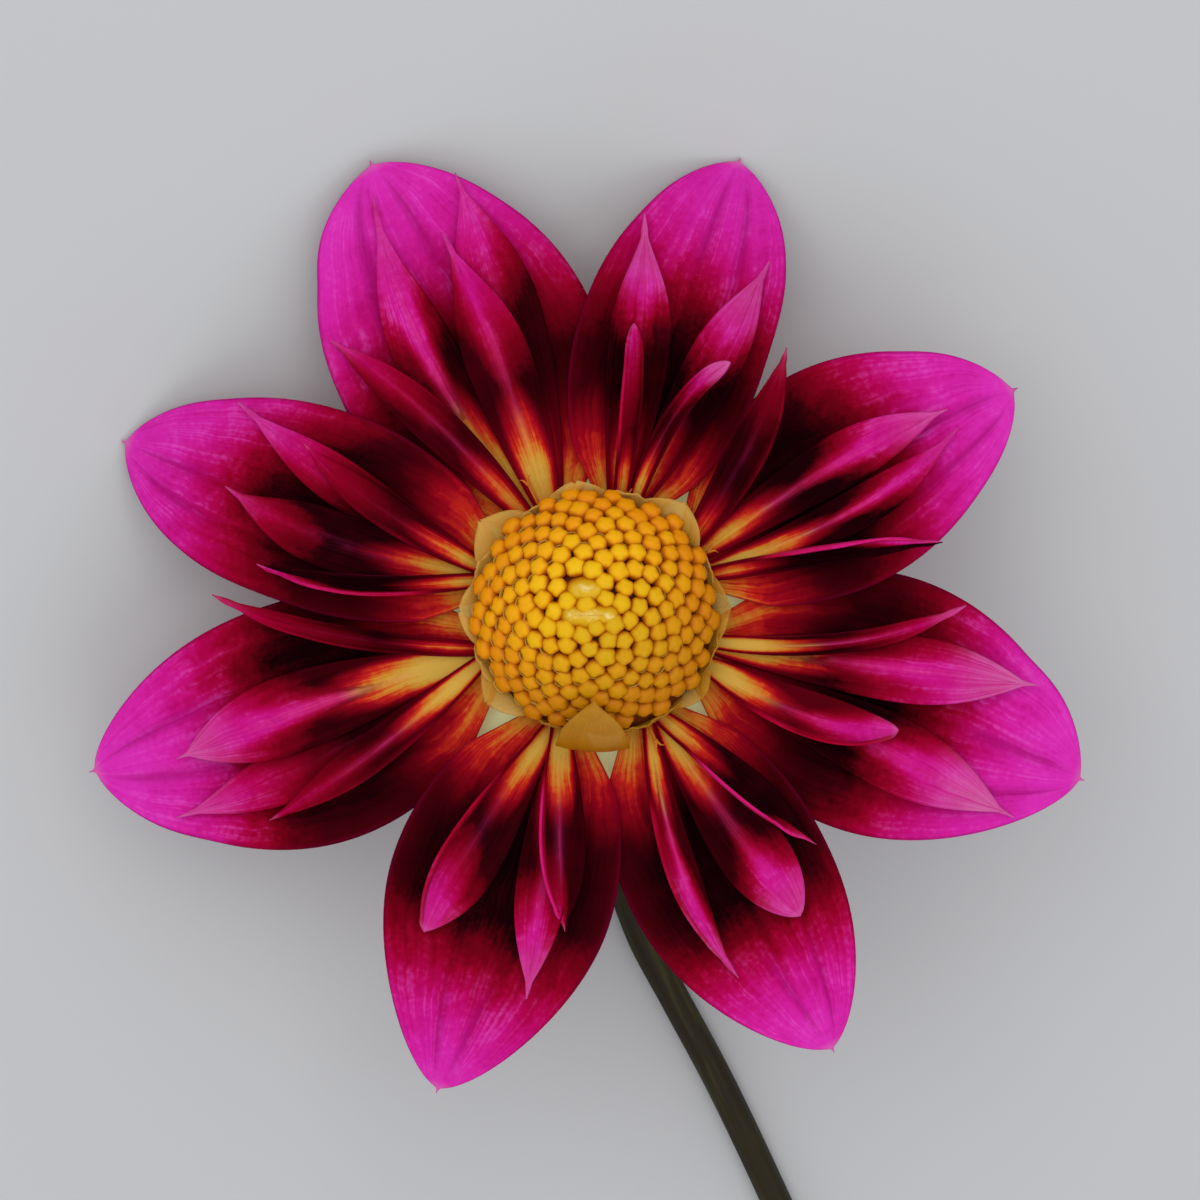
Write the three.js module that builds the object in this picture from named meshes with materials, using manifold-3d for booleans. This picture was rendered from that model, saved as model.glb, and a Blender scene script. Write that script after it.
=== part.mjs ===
// A collerette dahlia: one picked bloom on its stalk, laid down face up.
// Millimetres, +Z up. The origin is on the surface that the flower lies on, under the middle of
// its bounding box, and the stalk lies along -Y.
//
// The bloom is built in a frame of its own: its axis is +Z, z = 0 is the ring where the ray
// florets leave the receptacle, and x, y are as they are seen when the face of the bloom is
// looked at straight on. One group then spins and tilts it onto its resting place.

import * as THREE from 'three';
import { mergeVertices } from 'three/addons/utils/BufferGeometryUtils.js';
import Module from 'manifold-3d';

const wasm = await Module();
wasm.setup();

const { PI, abs, cos, sin, max, min, hypot, sign, sqrt } = Math;
const DEGREE = PI / 180;

// ---------------------------------------------------------------- driving dimensions

// Resting place of the bloom: it leans on the tips of two rays and on its stalk.
const HEAD_X = 2.4;
const HEAD_Y = 33.6;
const HEAD_Z = 19.65;
const HEAD_TILT = 20 * DEGREE;
const HEAD_SPIN = -24.4 * DEGREE;

const SEAT_GAP = 0.3;
const BLADE_THICK = 0.6;
const RAY_THICK = 0.7;
const BRACT_THICK = 0.9;
const TIP_HALF_WIDTH = 0.3;
const TIGHTEST_ROLL = 0.8;

// Ray florets: each blade and its petaloids start from a short tube.
const ROOT_RADIUS = 7.5;
const KNEE_RADIUS = 12;
const PETALOID_ROOT_RADIUS = 8.4;
const PETALOID_SPACING = 0.45;
const PETALOID_ROOT_RISE = 0.2;
const TUBE_HALF_WIDTH = 1.08;
const TUBE_HALF_HEIGHT = 0.92;
const TUBE_SIDES = 8;
const TUBE_STATIONS = [
  { out: -0.3, size: 0.8 }, { out: 1.2, size: 1 }, { out: 2.4, size: 0.9 }, { out: 3.8, size: 0.5 },
];
const RAY_ROWS = 10;
const RAY_COLUMNS = 4;
const PETALOID_ROWS = 7;
const PETALOID_COLUMNS = 4;
const NARROW_COLUMNS = 2;
const NARROW_HALF_WIDTH = 2.4;

// Disc: a dome of closed florets on a core, whose foot steps in under the ring of ray tubes.
const DISC_FOOT = [[0, -1.85], [4, -1.85], [4.2, -0.9], [6.6, -0.6], [6.6, 1.4], [8.6, 2.4], [10.2, 3.0]];
const DISC_RADIUS = 10.7;
const DISC_RIM_Z = 4.0;
const DISC_TOP_Z = 9.4;
const DISC_SIDES = 12;
const DISC_FILL = 0.985;
const BUD_COUNT = 130;
const BUD_SIDES = 5;
const BUD_RADIUS = 0.8;
const BUD_FOOT_RADIUS = 0.56;
const BUD_STANDS = 1.1;
const BUD_SHOULDER = 0.55;
const BUD_SUNK = 0.7;
const RIM_LEAN = 62 * DEGREE;
const GOLDEN_ANGLE = PI * (3 - sqrt(5));

// Rings of scales and of bracts grown together at their feet: [radius, z] points from the inside
// out, and rounded lobes in which the last point runs out and up.
const DISC_SCALES = {
  profile: [[8.7, 1.75], [10.6, 2.4], [12.2, 3.7], [12.75, 4.9]],
  lobes: 8, first: 100 * DEGREE, reach: 0.2, rise: 0.7, roundness: 0.7,
};
const INNER_BRACTS = {
  profile: [[4.6, -1.55], [9, -1.55], [12.6, -1.6], [14.4, -2.2]],
  lobes: 8, first: 28 * DEGREE, reach: 2.6, rise: -0.5, roundness: 0.8,
};
const STEPS_PER_LOBE = 4;

// One broad disc scale stands up and folds in over the disc, along these [radius, z] points.
const FLAP_PATH = [[12.5, 4.3], [12.6, 6.6], [11.0, 8.4], [7.9, 9.9]];
const FLAP_AZIMUTH = -92 * DEGREE;
const FLAP_HALF_WIDTH = 3.6;
const FLAP_SAG = 0.1;

// Receptacle and the outer bracts that bend back from it.
const RECEPTACLE_TOP_Z = -2.15;
const RECEPTACLE_FOOT_Z = -8;
const RECEPTACLE_FLANK = [
  [2.3, RECEPTACLE_FOOT_Z], [3.2, -7.2], [5.2, -5.4], [7.4, -3.8], [8.2, -2.8], [8.0, RECEPTACLE_TOP_Z],
];
const RECEPTACLE_SIDES = 16;
const OUTER_BRACTS = {
  count: 6, first: 10 * DEGREE, rootRadius: 4.6, rootZ: -5, reach: 12.5, curl: 1.25,
  halfWidth: 2.9, tipHalfWidth: 0.4, sag: 1.2, droop: 2.6, cup: 0.12,
};

// Stalk: the middle line seen from the point under the bloom, first [x, y, z] where it bends down
// to the surface, then [x, y] where it lies on it.
const STALK_RADIUS = 1.5;
const NECK_RADIUS = 2.1;
const NECK_SHARE = 0.16;
const NECK_STRAIGHT = 1.5;
const STALK_SIDES = 10;
const STALK_STEPS = 26;
const STALK_BEND = [[-0.5, -5.6, 7.2], [-1.7, -9.8, 3.9], [-3.6, -15, 2.0]];
const STALK_LYING = [
  [-5.8, -22], [-8.0, -30], [-8.9, -38.5], [-8.5, -46], [-7.9, -56], [-7.7, -72], [-8.1, -95], [-8.3, -112],
];

// Each ray: azimuth of its root, place of its tip, half widths on its counter-clockwise and
// clockwise side, rise of its middle and of its margins. Then its petaloids: place of the tip,
// half widths, sideways bow, height over the ray at the middle and at the tip, fold of either
// half in degrees, and how far out the widest place lies (1 is the middle).
const RAYS = [
  {
    azimuth: 118, tip: [-21.6, 43.4, -2.2], half: [12.5, 12.9], lift: 1.0, cup: 0.4,
    petaloids: [
      { tip: [-25.4, 26.3], half: [2.3, 2.3], bow: 0, over: [2.2, 1.0], fold: [25, 30], widest: 1.1 },
      { tip: [-21.3, 40.1], half: [3.2, 3.2], bow: 2.6, over: [1.6, 0.9], fold: [10, 20], widest: 1.1 },
      { tip: [-14.7, 36.5], half: [3.3, 3.3], bow: -1, over: [2.8, 1.6], fold: [20, 15], widest: 1.1 },
      { tip: [-13.5, 42.2], half: [4.0, 3.6], bow: -1.4, over: [1.2, 0.8], fold: [0, 5], widest: 1.3 },
    ],
  },
  {
    azimuth: 76, tip: [13.6, 43.6, -8.2], half: [9.8, 8.3], lift: 3.4, cup: 1.3,
    petaloids: [
      { tip: [4.5, 38.3], half: [3.1, 3.1], bow: -0.2, over: [2.0, 1.2], fold: [18, 18], widest: 1.2 },
      { tip: [3.5, 27.8], half: [1.6, 1.6], bow: 0, over: [4.0, 3.0], fold: [50, 50], widest: 1.1 },
      { tip: [16.4, 33.8], half: [2.9, 2.8], bow: -0.7, over: [1.8, 1.0], fold: [20, 25], widest: 1.3 },
      { tip: [12.6, 24.1], half: [1.6, 1.6], bow: 1, over: [3.8, 3.6], fold: [60, 55], widest: 1.3 },
    ],
  },
  {
    azimuth: 28, tip: [40.0, 21.8, -3], half: [11.4, 9.9], lift: 2.2, cup: 0.8,
    petaloids: [
      { tip: [17.9, 25.4], half: [2.4, 2.4], bow: 0.1, over: [3.0, 4.5], fold: [35, 35], widest: 1.1 },
      { tip: [33.3, 19.7], half: [2.7, 2.7], bow: 1.2, over: [2.2, 1.2], fold: [10, 20], widest: 1.3 },
      { tip: [34.3, 18.0], half: [2.1, 2.1], bow: -2.4, over: [3.0, 1.6], fold: [25, 20], widest: 1.3 },
      { tip: [32.7, 7.1], half: [2.0, 1.2], bow: -0.5, over: [2.6, 2.4], fold: [70, 60], widest: 1.0 },
    ],
  },
  {
    azimuth: -18.6, tip: [46.2, -15.5, -5], half: [13.1, 11.8], lift: 1.0, cup: 0.4,
    petaloids: [
      { tip: [35.0, 1.1], half: [1.8, 1.4], bow: -1.1, over: [2.8, 2.2], fold: [60, 50], widest: 1.0 },
      { tip: [41.9, -6.5], half: [3.4, 3.4], bow: 0.5, over: [2.0, 1.0], fold: [15, 20], widest: 1.4 },
      { tip: [28.6, -10.7], half: [2.5, 2.9], bow: -2, over: [3.4, 2.4], fold: [15, 45], widest: 1.2 },
      { tip: [39.7, -19.1], half: [3.7, 3.6], bow: -0.3, over: [1.4, 0.7], fold: [10, 15], widest: 1.4 },
    ],
  },
  {
    azimuth: -61.4, tip: [22.4, -41.1, -2.5], half: [8.9, 10.5], lift: 2.15, cup: 0.8,
    petaloids: [
      { tip: [13.4, -34.2], half: [1.8, 1.9], bow: -2, over: [2.4, 1.2], fold: [30, 35], widest: 1.2 },
      { tip: [19.3, -28.3], half: [3.5, 3.5], bow: 0, over: [1.6, 1.4], fold: [10, 20], widest: 1.6 },
      { tip: [20.8, -21.5], half: [1.9, 2.4], bow: 0.4, over: [3.2, 2.2], fold: [5, 60], widest: 1.2 },
    ],
  },
  {
    azimuth: -112.9, tip: [-15.1, -44.7, -4], half: [10.7, 10.8], lift: 3.4, cup: 1.2,
    petaloids: [
      { tip: [-16.4, -29.8], half: [3.5, 3.9], bow: -0.5, over: [2.4, 1.2], fold: [10, 50], widest: 1.5 },
      { tip: [-6.7, -36.2], half: [2.5, 2.5], bow: 0.7, over: [1.4, 0.9], fold: [10, 10], widest: 1.3 },
      { tip: [-3.0, -29.8], half: [2.6, 3.2], bow: 0.3, over: [2.8, 1.6], fold: [20, 50], widest: 1.2 },
    ],
  },
  {
    azimuth: -163.3, tip: [-48.4, -14.8, -6], half: [13.4, 10.2], lift: 1.2, cup: 0.4,
    petaloids: [
      { tip: [-36.5, 2.1], half: [1.6, 1.5], bow: 1.1, over: [2.6, 3.0], fold: [50, 50], widest: 1.0 },
      { tip: [-40.0, -13.5], half: [3.9, 3.9], bow: -0.4, over: [2.0, 1.2], fold: [15, 15], widest: 1.5 },
      { tip: [-40.0, -19.1], half: [2.8, 2.8], bow: 1.6, over: [1.1, 0.8], fold: [5, 5], widest: 1.4 },
      { tip: [-31.1, -19.3], half: [2.2, 2.2], bow: 1.2, over: [3.0, 1.6], fold: [35, 30], widest: 1.2 },
    ],
  },
  {
    azimuth: 156.4, tip: [-45.1, 16.7, -8.25], half: [9.2, 9.8], lift: 3.4, cup: 1.2,
    petaloids: [
      { tip: [-34.1, 20.4], half: [2.3, 2.3], bow: 0.9, over: [1.5, 0.8], fold: [10, 10], widest: 1.2 },
      { tip: [-27.8, 16.5], half: [1.8, 1.8], bow: 0.9, over: [2.8, 1.6], fold: [30, 30], widest: 1.1 },
      { tip: [-35.3, 12.4], half: [2.9, 2.9], bow: 1.9, over: [1.8, 1.0], fold: [15, 15], widest: 1.3 },
      { tip: [-32.2, 5.0], half: [1.3, 1.7], bow: 1.9, over: [3.0, 2.2], fold: [40, 60], widest: 1.1 },
    ],
  },
];

// ---------------------------------------------------------------- helpers

const material = (color, roughness) => new THREE.MeshStandardMaterial({ color, roughness, metalness: 0 });

const FINISH = {
  ray: material(0xc0248c, 0.55),
  florets: material(0xd2990f, 0.5),
  scales: material(0xbc8c39, 0.45),
  innerBracts: material(0xaeb08f, 0.5),
  green: material(0x66733c, 0.6),
  stalk: material(0x3a3522, 0.6),
};

function polar(radius, angle) {
  return new THREE.Vector2(radius * cos(angle), radius * sin(angle));
}

function smooth(from, to, value) {
  return THREE.MathUtils.smoothstep(value, from, to);
}

// Closed solid from shared vertices and triangles.
function indexed(points, triangles) {
  const geometry = new THREE.BufferGeometry();
  const flat = points.flatMap((point) => [point.x, point.y, point.z]);
  geometry.setAttribute('position', new THREE.Float32BufferAttribute(flat, 3));
  geometry.setIndex(triangles.flat());
  return geometry;
}

// A geometry as a solid that can be joined: shared vertices, no triangle without area.
function solid(geometry) {
  const bare = geometry.clone();
  bare.deleteAttribute('normal');
  bare.deleteAttribute('uv');
  const merged = mergeVertices(bare, 1e-4);
  const triangles = [];
  for (let i = 0; i < merged.index.count; i += 3) {
    const [a, b, c] = [0, 1, 2].map((corner) => merged.index.getX(i + corner));
    if (a !== b && b !== c && c !== a) {
      triangles.push(a, b, c);
    }
  }
  const vertProperties = Float32Array.from(merged.attributes.position.array);
  const triVerts = Uint32Array.from(triangles);
  return new wasm.Manifold(new wasm.Mesh({ numProp: 3, vertProperties, triVerts }));
}

// Several closed geometries that grow into each other, as one.
function fuse(geometries) {
  const joined = geometries.map(solid).reduce((whole, piece) => whole.add(piece));
  const mesh = joined.getMesh();
  const geometry = new THREE.BufferGeometry();
  geometry.setAttribute('position', new THREE.Float32BufferAttribute(mesh.vertProperties, 3));
  geometry.setIndex(new THREE.Uint32BufferAttribute(mesh.triVerts, 1));
  return geometry;
}

// A grid of points as a thin closed blade. point(t, u) runs from root to tip with t from 0 to 1
// and across with u from -1 to 1. Both faces are split into triangles alike.
function blade({ rows, columns, thick, point }) {
  const step = 1e-3;
  const upper = [];
  const lower = [];
  for (let row = 0; row <= rows; row += 1) {
    for (let column = 0; column <= columns; column += 1) {
      const t = row / rows;
      const u = -1 + (2 * column) / columns;
      const back = max(t - step, 0);
      const ahead = min(t + step, 1);
      const along = point(ahead, u).sub(point(back, u));
      const across = point(t, min(u + step, 1)).sub(point(t, max(u - step, -1)));
      const offset = new THREE.Vector3().crossVectors(across, along).setLength(thick / 2);
      const middle = point(t, u);
      upper.push(middle.clone().sub(offset));
      lower.push(middle.clone().add(offset));
    }
  }
  const count = upper.length;
  const width = columns + 1;
  const triangles = [];
  const quad = (a, b, c, d) => triangles.push([a, b, c], [a, c, d]);
  for (let row = 0; row < rows; row += 1) {
    for (let column = 0; column < columns; column += 1) {
      const a = row * width + column;
      const [b, c, d] = [a + 1, a + 1 + width, a + width];
      triangles.push([a, c, b], [a, d, c]);
      triangles.push([count + a, count + b, count + c], [count + a, count + c, count + d]);
    }
  }
  for (let row = 0; row < rows; row += 1) {
    const left = row * width;
    const right = left + columns;
    quad(left, count + left, count + left + width, left + width);
    quad(count + right, right, right + width, count + right + width);
  }
  for (let column = 0; column < columns; column += 1) {
    const root = column;
    const tip = rows * width + column;
    quad(count + root, root, root + 1, count + root + 1);
    quad(tip, count + tip, count + tip + 1, tip + 1);
  }
  return indexed([...upper, ...lower], triangles);
}

// Rings of points, each with the same count, as a closed tube with flat ends.
function loft(rings) {
  const sides = rings[0].length;
  const points = rings.flat();
  const triangles = [];
  for (let ring = 0; ring + 1 < rings.length; ring += 1) {
    for (let side = 0; side < sides; side += 1) {
      const a = ring * sides + side;
      const b = ring * sides + ((side + 1) % sides);
      triangles.push([a, b, b + sides], [a, b + sides, a + sides]);
    }
  }
  const last = (rings.length - 1) * sides;
  for (let side = 1; side + 1 < sides; side += 1) {
    triangles.push([0, side + 1, side], [last, last + side, last + side + 1]);
  }
  return indexed(points, triangles);
}

// A profile of [radius, z] points turned round +Z.
function turned(outline, sides) {
  const points = outline.map(([radius, z]) => new THREE.Vector2(radius, z));
  return new THREE.LatheGeometry(points, sides).rotateX(PI / 2);
}

// A thin closed ring round +Z. profile(angle) gives the [radius, z] points of its middle, inside
// to outside.
function ringShell({ around, thick, profile }) {
  const rings = [];
  for (let i = 0; i < around; i += 1) {
    const angle = (2 * PI * i) / around;
    const middle = profile(angle);
    const sides = middle.map(([radius, z], k) => {
      const [r0, z0] = middle[max(k - 1, 0)];
      const [r1, z1] = middle[min(k + 1, middle.length - 1)];
      const length = hypot(r1 - r0, z1 - z0);
      const lean = [(-(z1 - z0) / length) * (thick / 2), ((r1 - r0) / length) * (thick / 2)];
      return [[radius + lean[0], z + lean[1]], [radius - lean[0], z - lean[1]]];
    });
    const outline = [...sides.map((pair) => pair[0]), ...sides.map((pair) => pair[1]).reverse()];
    rings.push(outline.map(([radius, z]) => {
      const place = polar(radius, angle);
      return new THREE.Vector3(place.x, place.y, z);
    }));
  }
  const sides = rings[0].length;
  const triangles = [];
  for (let ring = 0; ring < around; ring += 1) {
    const next = (ring + 1) % around;
    for (let side = 0; side < sides; side += 1) {
      const after = (side + 1) % sides;
      const [a, b] = [ring * sides + side, ring * sides + after];
      const [c, d] = [next * sides + after, next * sides + side];
      triangles.push([a, b, c], [a, c, d]);
    }
  }
  return indexed(rings.flat(), triangles);
}

// Half a blade rolled into a channel: how far out and how far up the place u lies, for a half of
// width 1 that bends by twice the fold from its midline to its margin.
function channel(u, fold) {
  if (abs(fold * u) < 1e-4) {
    return [u, 0];
  }
  const bend = 2 * fold * abs(u);
  return [(sign(u) * sin(bend)) / (2 * fold), (1 - cos(bend)) / (2 * fold)];
}

// ---------------------------------------------------------------- ray florets

// Half width of a ray as a share of its widest, from root to tip: an oval with a short cusp.
function rayOutline(t) {
  const oval = sin(PI * min(max(t, 0.005), 0.995)) ** 0.65;
  const claw = 1 - 0.57 * max(0, 1 - t / 0.2) ** 1.2;
  const cusp = 1 - 0.45 * smooth(0.94, 1, t);
  return oval * claw * cusp;
}

// The middle surface of a ray, as a function of its own t and u, and of a place in the plane.
function raySurface(ray) {
  const root = polar(ROOT_RADIUS, ray.azimuth * DEGREE);
  const tip = new THREE.Vector2(ray.tip[0], ray.tip[1]);
  const length = root.distanceTo(tip);
  const along = tip.clone().sub(root).divideScalar(length);
  const side = new THREE.Vector2(-along.y, along.x);
  const height = (t, u) => {
    const bulge = sin(PI * min(max(t, 0), 1));
    return ray.lift * bulge ** 1.2 + ray.tip[2] * max(t, 0) ** 2.2 + ray.cup * u * u * bulge;
  };
  const halfWidth = (t, u) => max(rayOutline(t) * (u > 0 ? ray.half[0] : ray.half[1]), TIP_HALF_WIDTH);
  const point = (t, u) => {
    const place = root.clone().addScaledVector(along, t * length);
    place.addScaledVector(side, u * halfWidth(t, u));
    return new THREE.Vector3(place.x, place.y, height(t, u));
  };
  const heightAt = (x, y) => {
    const from = new THREE.Vector2(x, y).sub(root);
    const t = min(max(from.dot(along) / length, 0), 1);
    const v = from.dot(side);
    const u = v / max(halfWidth(t, v), 1);
    return height(t, min(max(u, -1.1), 1.1));
  };
  return { root, point, heightAt };
}

function rayTube(ray) {
  const rings = TUBE_STATIONS.map(({ out, size }) => {
    const centre = polar(ROOT_RADIUS + out, ray.azimuth * DEGREE);
    const side = polar(1, ray.azimuth * DEGREE + PI / 2);
    return Array.from({ length: TUBE_SIDES }, (_, k) => {
      const turn = (2 * PI * (k + 0.5)) / TUBE_SIDES;
      const across = TUBE_HALF_WIDTH * size * cos(turn);
      const up = TUBE_HALF_HEIGHT * size * sin(turn);
      return new THREE.Vector3(centre.x + side.x * across, centre.y + side.y * across, up);
    });
  });
  return loft(rings);
}

// A petaloid arches over its ray from the mouth of the tube, bowed to one side, with its margins
// rolled up. The first of a ray's petaloids lies furthest round counter-clockwise.
function petaloid(ray, surface, spec, order) {
  const azimuth = ray.azimuth * DEGREE;
  const root = polar(PETALOID_ROOT_RADIUS, azimuth);
  root.addScaledVector(polar(1, azimuth + PI / 2), (1.5 - order) * PETALOID_SPACING);
  const knee = polar(KNEE_RADIUS, azimuth);
  const tip = new THREE.Vector2(...spec.tip);
  const side = tip.clone().sub(root).normalize().rotateAround(new THREE.Vector2(), PI / 2);
  const bend = tip.clone().sub(root).multiplyScalar(0.5).add(knee).addScaledVector(side, 2 * spec.bow);
  const midline = new THREE.QuadraticBezierCurve(root, bend, tip);
  const point = (t, u) => {
    const centre = midline.getPoint(t);
    const heading = midline.getTangent(t);
    const widest = u > 0 ? spec.half[0] : spec.half[1];
    const half = max(widest * sin(PI * t ** spec.widest) ** 1.25, TIP_HALF_WIDTH);
    const fold = min((u > 0 ? spec.fold[0] : spec.fold[1]) * DEGREE, half / (2 * TIGHTEST_ROLL));
    const [out, up] = channel(u, fold);
    const x = centre.x - heading.y * out * half;
    const y = centre.y + heading.x * out * half;
    const bulge = sin(PI * t) ** 1.5;
    const over = PETALOID_ROOT_RISE + spec.over[0] * bulge + spec.over[1] * t * t;
    return new THREE.Vector3(x, y, surface.heightAt(x, y) + over + up * half);
  };
  const narrow = max(...spec.half) < NARROW_HALF_WIDTH;
  const columns = narrow ? NARROW_COLUMNS : PETALOID_COLUMNS;
  return blade({ rows: PETALOID_ROWS, columns, thick: BLADE_THICK, point });
}

function rayFloret(ray) {
  const surface = raySurface(ray);
  const ligule = blade({ rows: RAY_ROWS, columns: RAY_COLUMNS, thick: RAY_THICK, point: surface.point });
  const collar = ray.petaloids.map((spec, order) => petaloid(ray, surface, spec, order));
  return fuse([ligule, rayTube(ray), ...collar]);
}

// ---------------------------------------------------------------- disc

function domeHeight(radius) {
  const share = min(radius / DISC_RADIUS, 1);
  return DISC_RIM_Z + (DISC_TOP_Z - DISC_RIM_Z) * sqrt(1 - share * share);
}

function discCore() {
  const dome = [1, 0.85, 0.5, 0].map((share) => [DISC_RADIUS * share, domeHeight(DISC_RADIUS * share)]);
  return turned([...DISC_FOOT, ...dome], DISC_SIDES);
}

// A closed floret: a shoulder and a point, its foot sunk in the core. The florets follow the golden
// angle outwards and lean over towards the rim.
function bud(index) {
  const share = sqrt((index + 0.5) / BUD_COUNT);
  const angle = index * GOLDEN_ANGLE;
  const radius = DISC_RADIUS * share * DISC_FILL;
  const lean = share ** 2.2 * RIM_LEAN;
  const outward = polar(1, angle);
  const axis = new THREE.Vector3(outward.x * sin(lean), outward.y * sin(lean), cos(lean));
  const foot = new THREE.Vector3(outward.x * radius, outward.y * radius, domeHeight(radius));
  const sideways = new THREE.Vector3(-outward.y, outward.x, 0);
  const forward = new THREE.Vector3().crossVectors(sideways, axis);
  const ring = (up, size) => Array.from({ length: BUD_SIDES }, (_, k) => {
    const turn = (2 * PI * k) / BUD_SIDES + angle;
    return foot.clone().addScaledVector(axis, up)
      .addScaledVector(sideways, size * cos(turn))
      .addScaledVector(forward, -size * sin(turn));
  });
  return loft([ring(-BUD_SUNK, BUD_FOOT_RADIUS), ring(BUD_SHOULDER, BUD_RADIUS), ring(BUD_STANDS, 0)]);
}

function discFlorets() {
  const buds = Array.from({ length: BUD_COUNT }, (_, index) => bud(index));
  return fuse([discCore(), ...buds]);
}

function lobedRing({ profile, lobes, first, reach, rise, roundness }) {
  const [rimRadius, rimZ] = profile.at(-1);
  return ringShell({
    around: lobes * STEPS_PER_LOBE,
    thick: BLADE_THICK,
    profile: (angle) => {
      const lobe = abs(cos((lobes / 2) * (angle - first))) ** roundness;
      return [...profile.slice(0, -1), [rimRadius + reach * lobe, rimZ + rise * lobe]];
    },
  });
}

function discScales() {
  const path = new THREE.CatmullRomCurve3(FLAP_PATH.map(([radius, z]) => new THREE.Vector3(radius, 0, z)));
  const flap = blade({
    rows: 6,
    columns: 4,
    thick: BLADE_THICK,
    point: (t, u) => {
      const { x: radius, z } = path.getPoint(t);
      const half = max(FLAP_HALF_WIDTH * cos((PI / 2) * t ** 1.4), TIP_HALF_WIDTH);
      const place = polar(radius, FLAP_AZIMUTH + (u * half) / radius);
      return new THREE.Vector3(place.x, place.y, z - FLAP_SAG * u * u * half * t);
    },
  });
  return fuse([lobedRing(DISC_SCALES), flap]);
}

// ---------------------------------------------------------------- receptacle, bracts, stalk

function outerBract(index) {
  const { count, first, rootRadius, rootZ, reach, curl } = OUTER_BRACTS;
  const { halfWidth, tipHalfWidth, sag, droop, cup } = OUTER_BRACTS;
  const outward = polar(1, first + (2 * PI * index) / count);
  return blade({
    rows: 5,
    columns: 2,
    thick: BRACT_THICK,
    point: (t, u) => {
      const radius = rootRadius + (reach * sin(curl * t)) / sin(curl);
      const half = max(halfWidth * sin(PI * (0.22 + 0.78 * t)) ** 0.9, tipHalfWidth);
      const z = rootZ - sag * sin(PI * t) ** 2 - droop * t ** 2.5 + cup * u * u * half;
      return new THREE.Vector3(
        outward.x * radius - outward.y * u * half,
        outward.y * radius + outward.x * u * half,
        z,
      );
    },
  });
}

function receptacle() {
  const outline = [[0, RECEPTACLE_FOOT_Z], ...RECEPTACLE_FLANK, [0, RECEPTACLE_TOP_Z]];
  const bracts = Array.from({ length: OUTER_BRACTS.count }, (_, index) => outerBract(index));
  return fuse([turned(outline, RECEPTACLE_SIDES), ...bracts]);
}

// The stalk leaves the receptacle along the bloom's axis, bends onto the surface and lies on it.
function stalk() {
  const start = new THREE.Vector3(0, 0, RECEPTACLE_FOOT_Z - SEAT_GAP);
  const down = new THREE.Vector3(0, 0, -1);
  for (const vector of [start, down]) {
    vector.applyAxisAngle(new THREE.Vector3(1, 0, 0), -HEAD_TILT);
  }
  start.z += HEAD_Z;
  const lying = STALK_RADIUS * cos(PI / STALK_SIDES);
  const route = new THREE.CatmullRomCurve3([
    start,
    start.clone().addScaledVector(down, NECK_STRAIGHT),
    ...STALK_BEND.map((place) => new THREE.Vector3(...place)),
    ...STALK_LYING.map(([x, y]) => new THREE.Vector3(x, y, lying)),
  ]);
  const up = new THREE.Vector3(0, 0, 1);
  const rings = Array.from({ length: STALK_STEPS + 1 }, (_, step) => {
    const t = step / STALK_STEPS;
    const centre = route.getPointAt(t);
    centre.z = max(centre.z, lying);
    const heading = route.getTangentAt(t);
    const side = new THREE.Vector3().crossVectors(heading, up).normalize();
    const over = new THREE.Vector3().crossVectors(side, heading);
    const radius = STALK_RADIUS + (NECK_RADIUS - STALK_RADIUS) * (1 - smooth(0, NECK_SHARE, t));
    return Array.from({ length: STALK_SIDES }, (_, k) => {
      const turn = (2 * PI * k) / STALK_SIDES;
      return centre.clone()
        .addScaledVector(side, radius * cos(turn))
        .addScaledVector(over, -radius * sin(turn));
    });
  });
  return loft(rings);
}

// ---------------------------------------------------------------- the flower

function named(name, geometry, finish) {
  const mesh = new THREE.Mesh(geometry, finish);
  mesh.name = name;
  return mesh;
}

const bloom = new THREE.Group();
bloom.position.set(HEAD_X, HEAD_Y, HEAD_Z);
bloom.rotation.set(-HEAD_TILT, 0, HEAD_SPIN);
RAYS.forEach((ray, index) => {
  bloom.add(named(`ray_floret_${index + 1}`, rayFloret(ray), FINISH.ray));
});
bloom.add(named('disc_florets', discFlorets(), FINISH.florets));
bloom.add(named('disc_scales', discScales(), FINISH.scales));
bloom.add(named('inner_bracts', lobedRing(INNER_BRACTS), FINISH.innerBracts));
bloom.add(named('receptacle', receptacle(), FINISH.green));

const lyingStalk = named('stem', stalk(), FINISH.stalk);
lyingStalk.position.set(HEAD_X, HEAD_Y, 0);

const flower = new THREE.Group();
flower.add(bloom, lyingStalk);

export default flower;
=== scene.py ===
# %% [markdown]
# # A dahlia with a collar, picked and laid down
#
# This flower has one ring of broad ray florets, a collar of narrow petaloids that stand on
# them, and a domed disc of small closed florets. The packed model holds all of it as plain
# solids. We load those as a fixed frame first, and then grow finer petals, florets and stem
# in the very same places.

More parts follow.
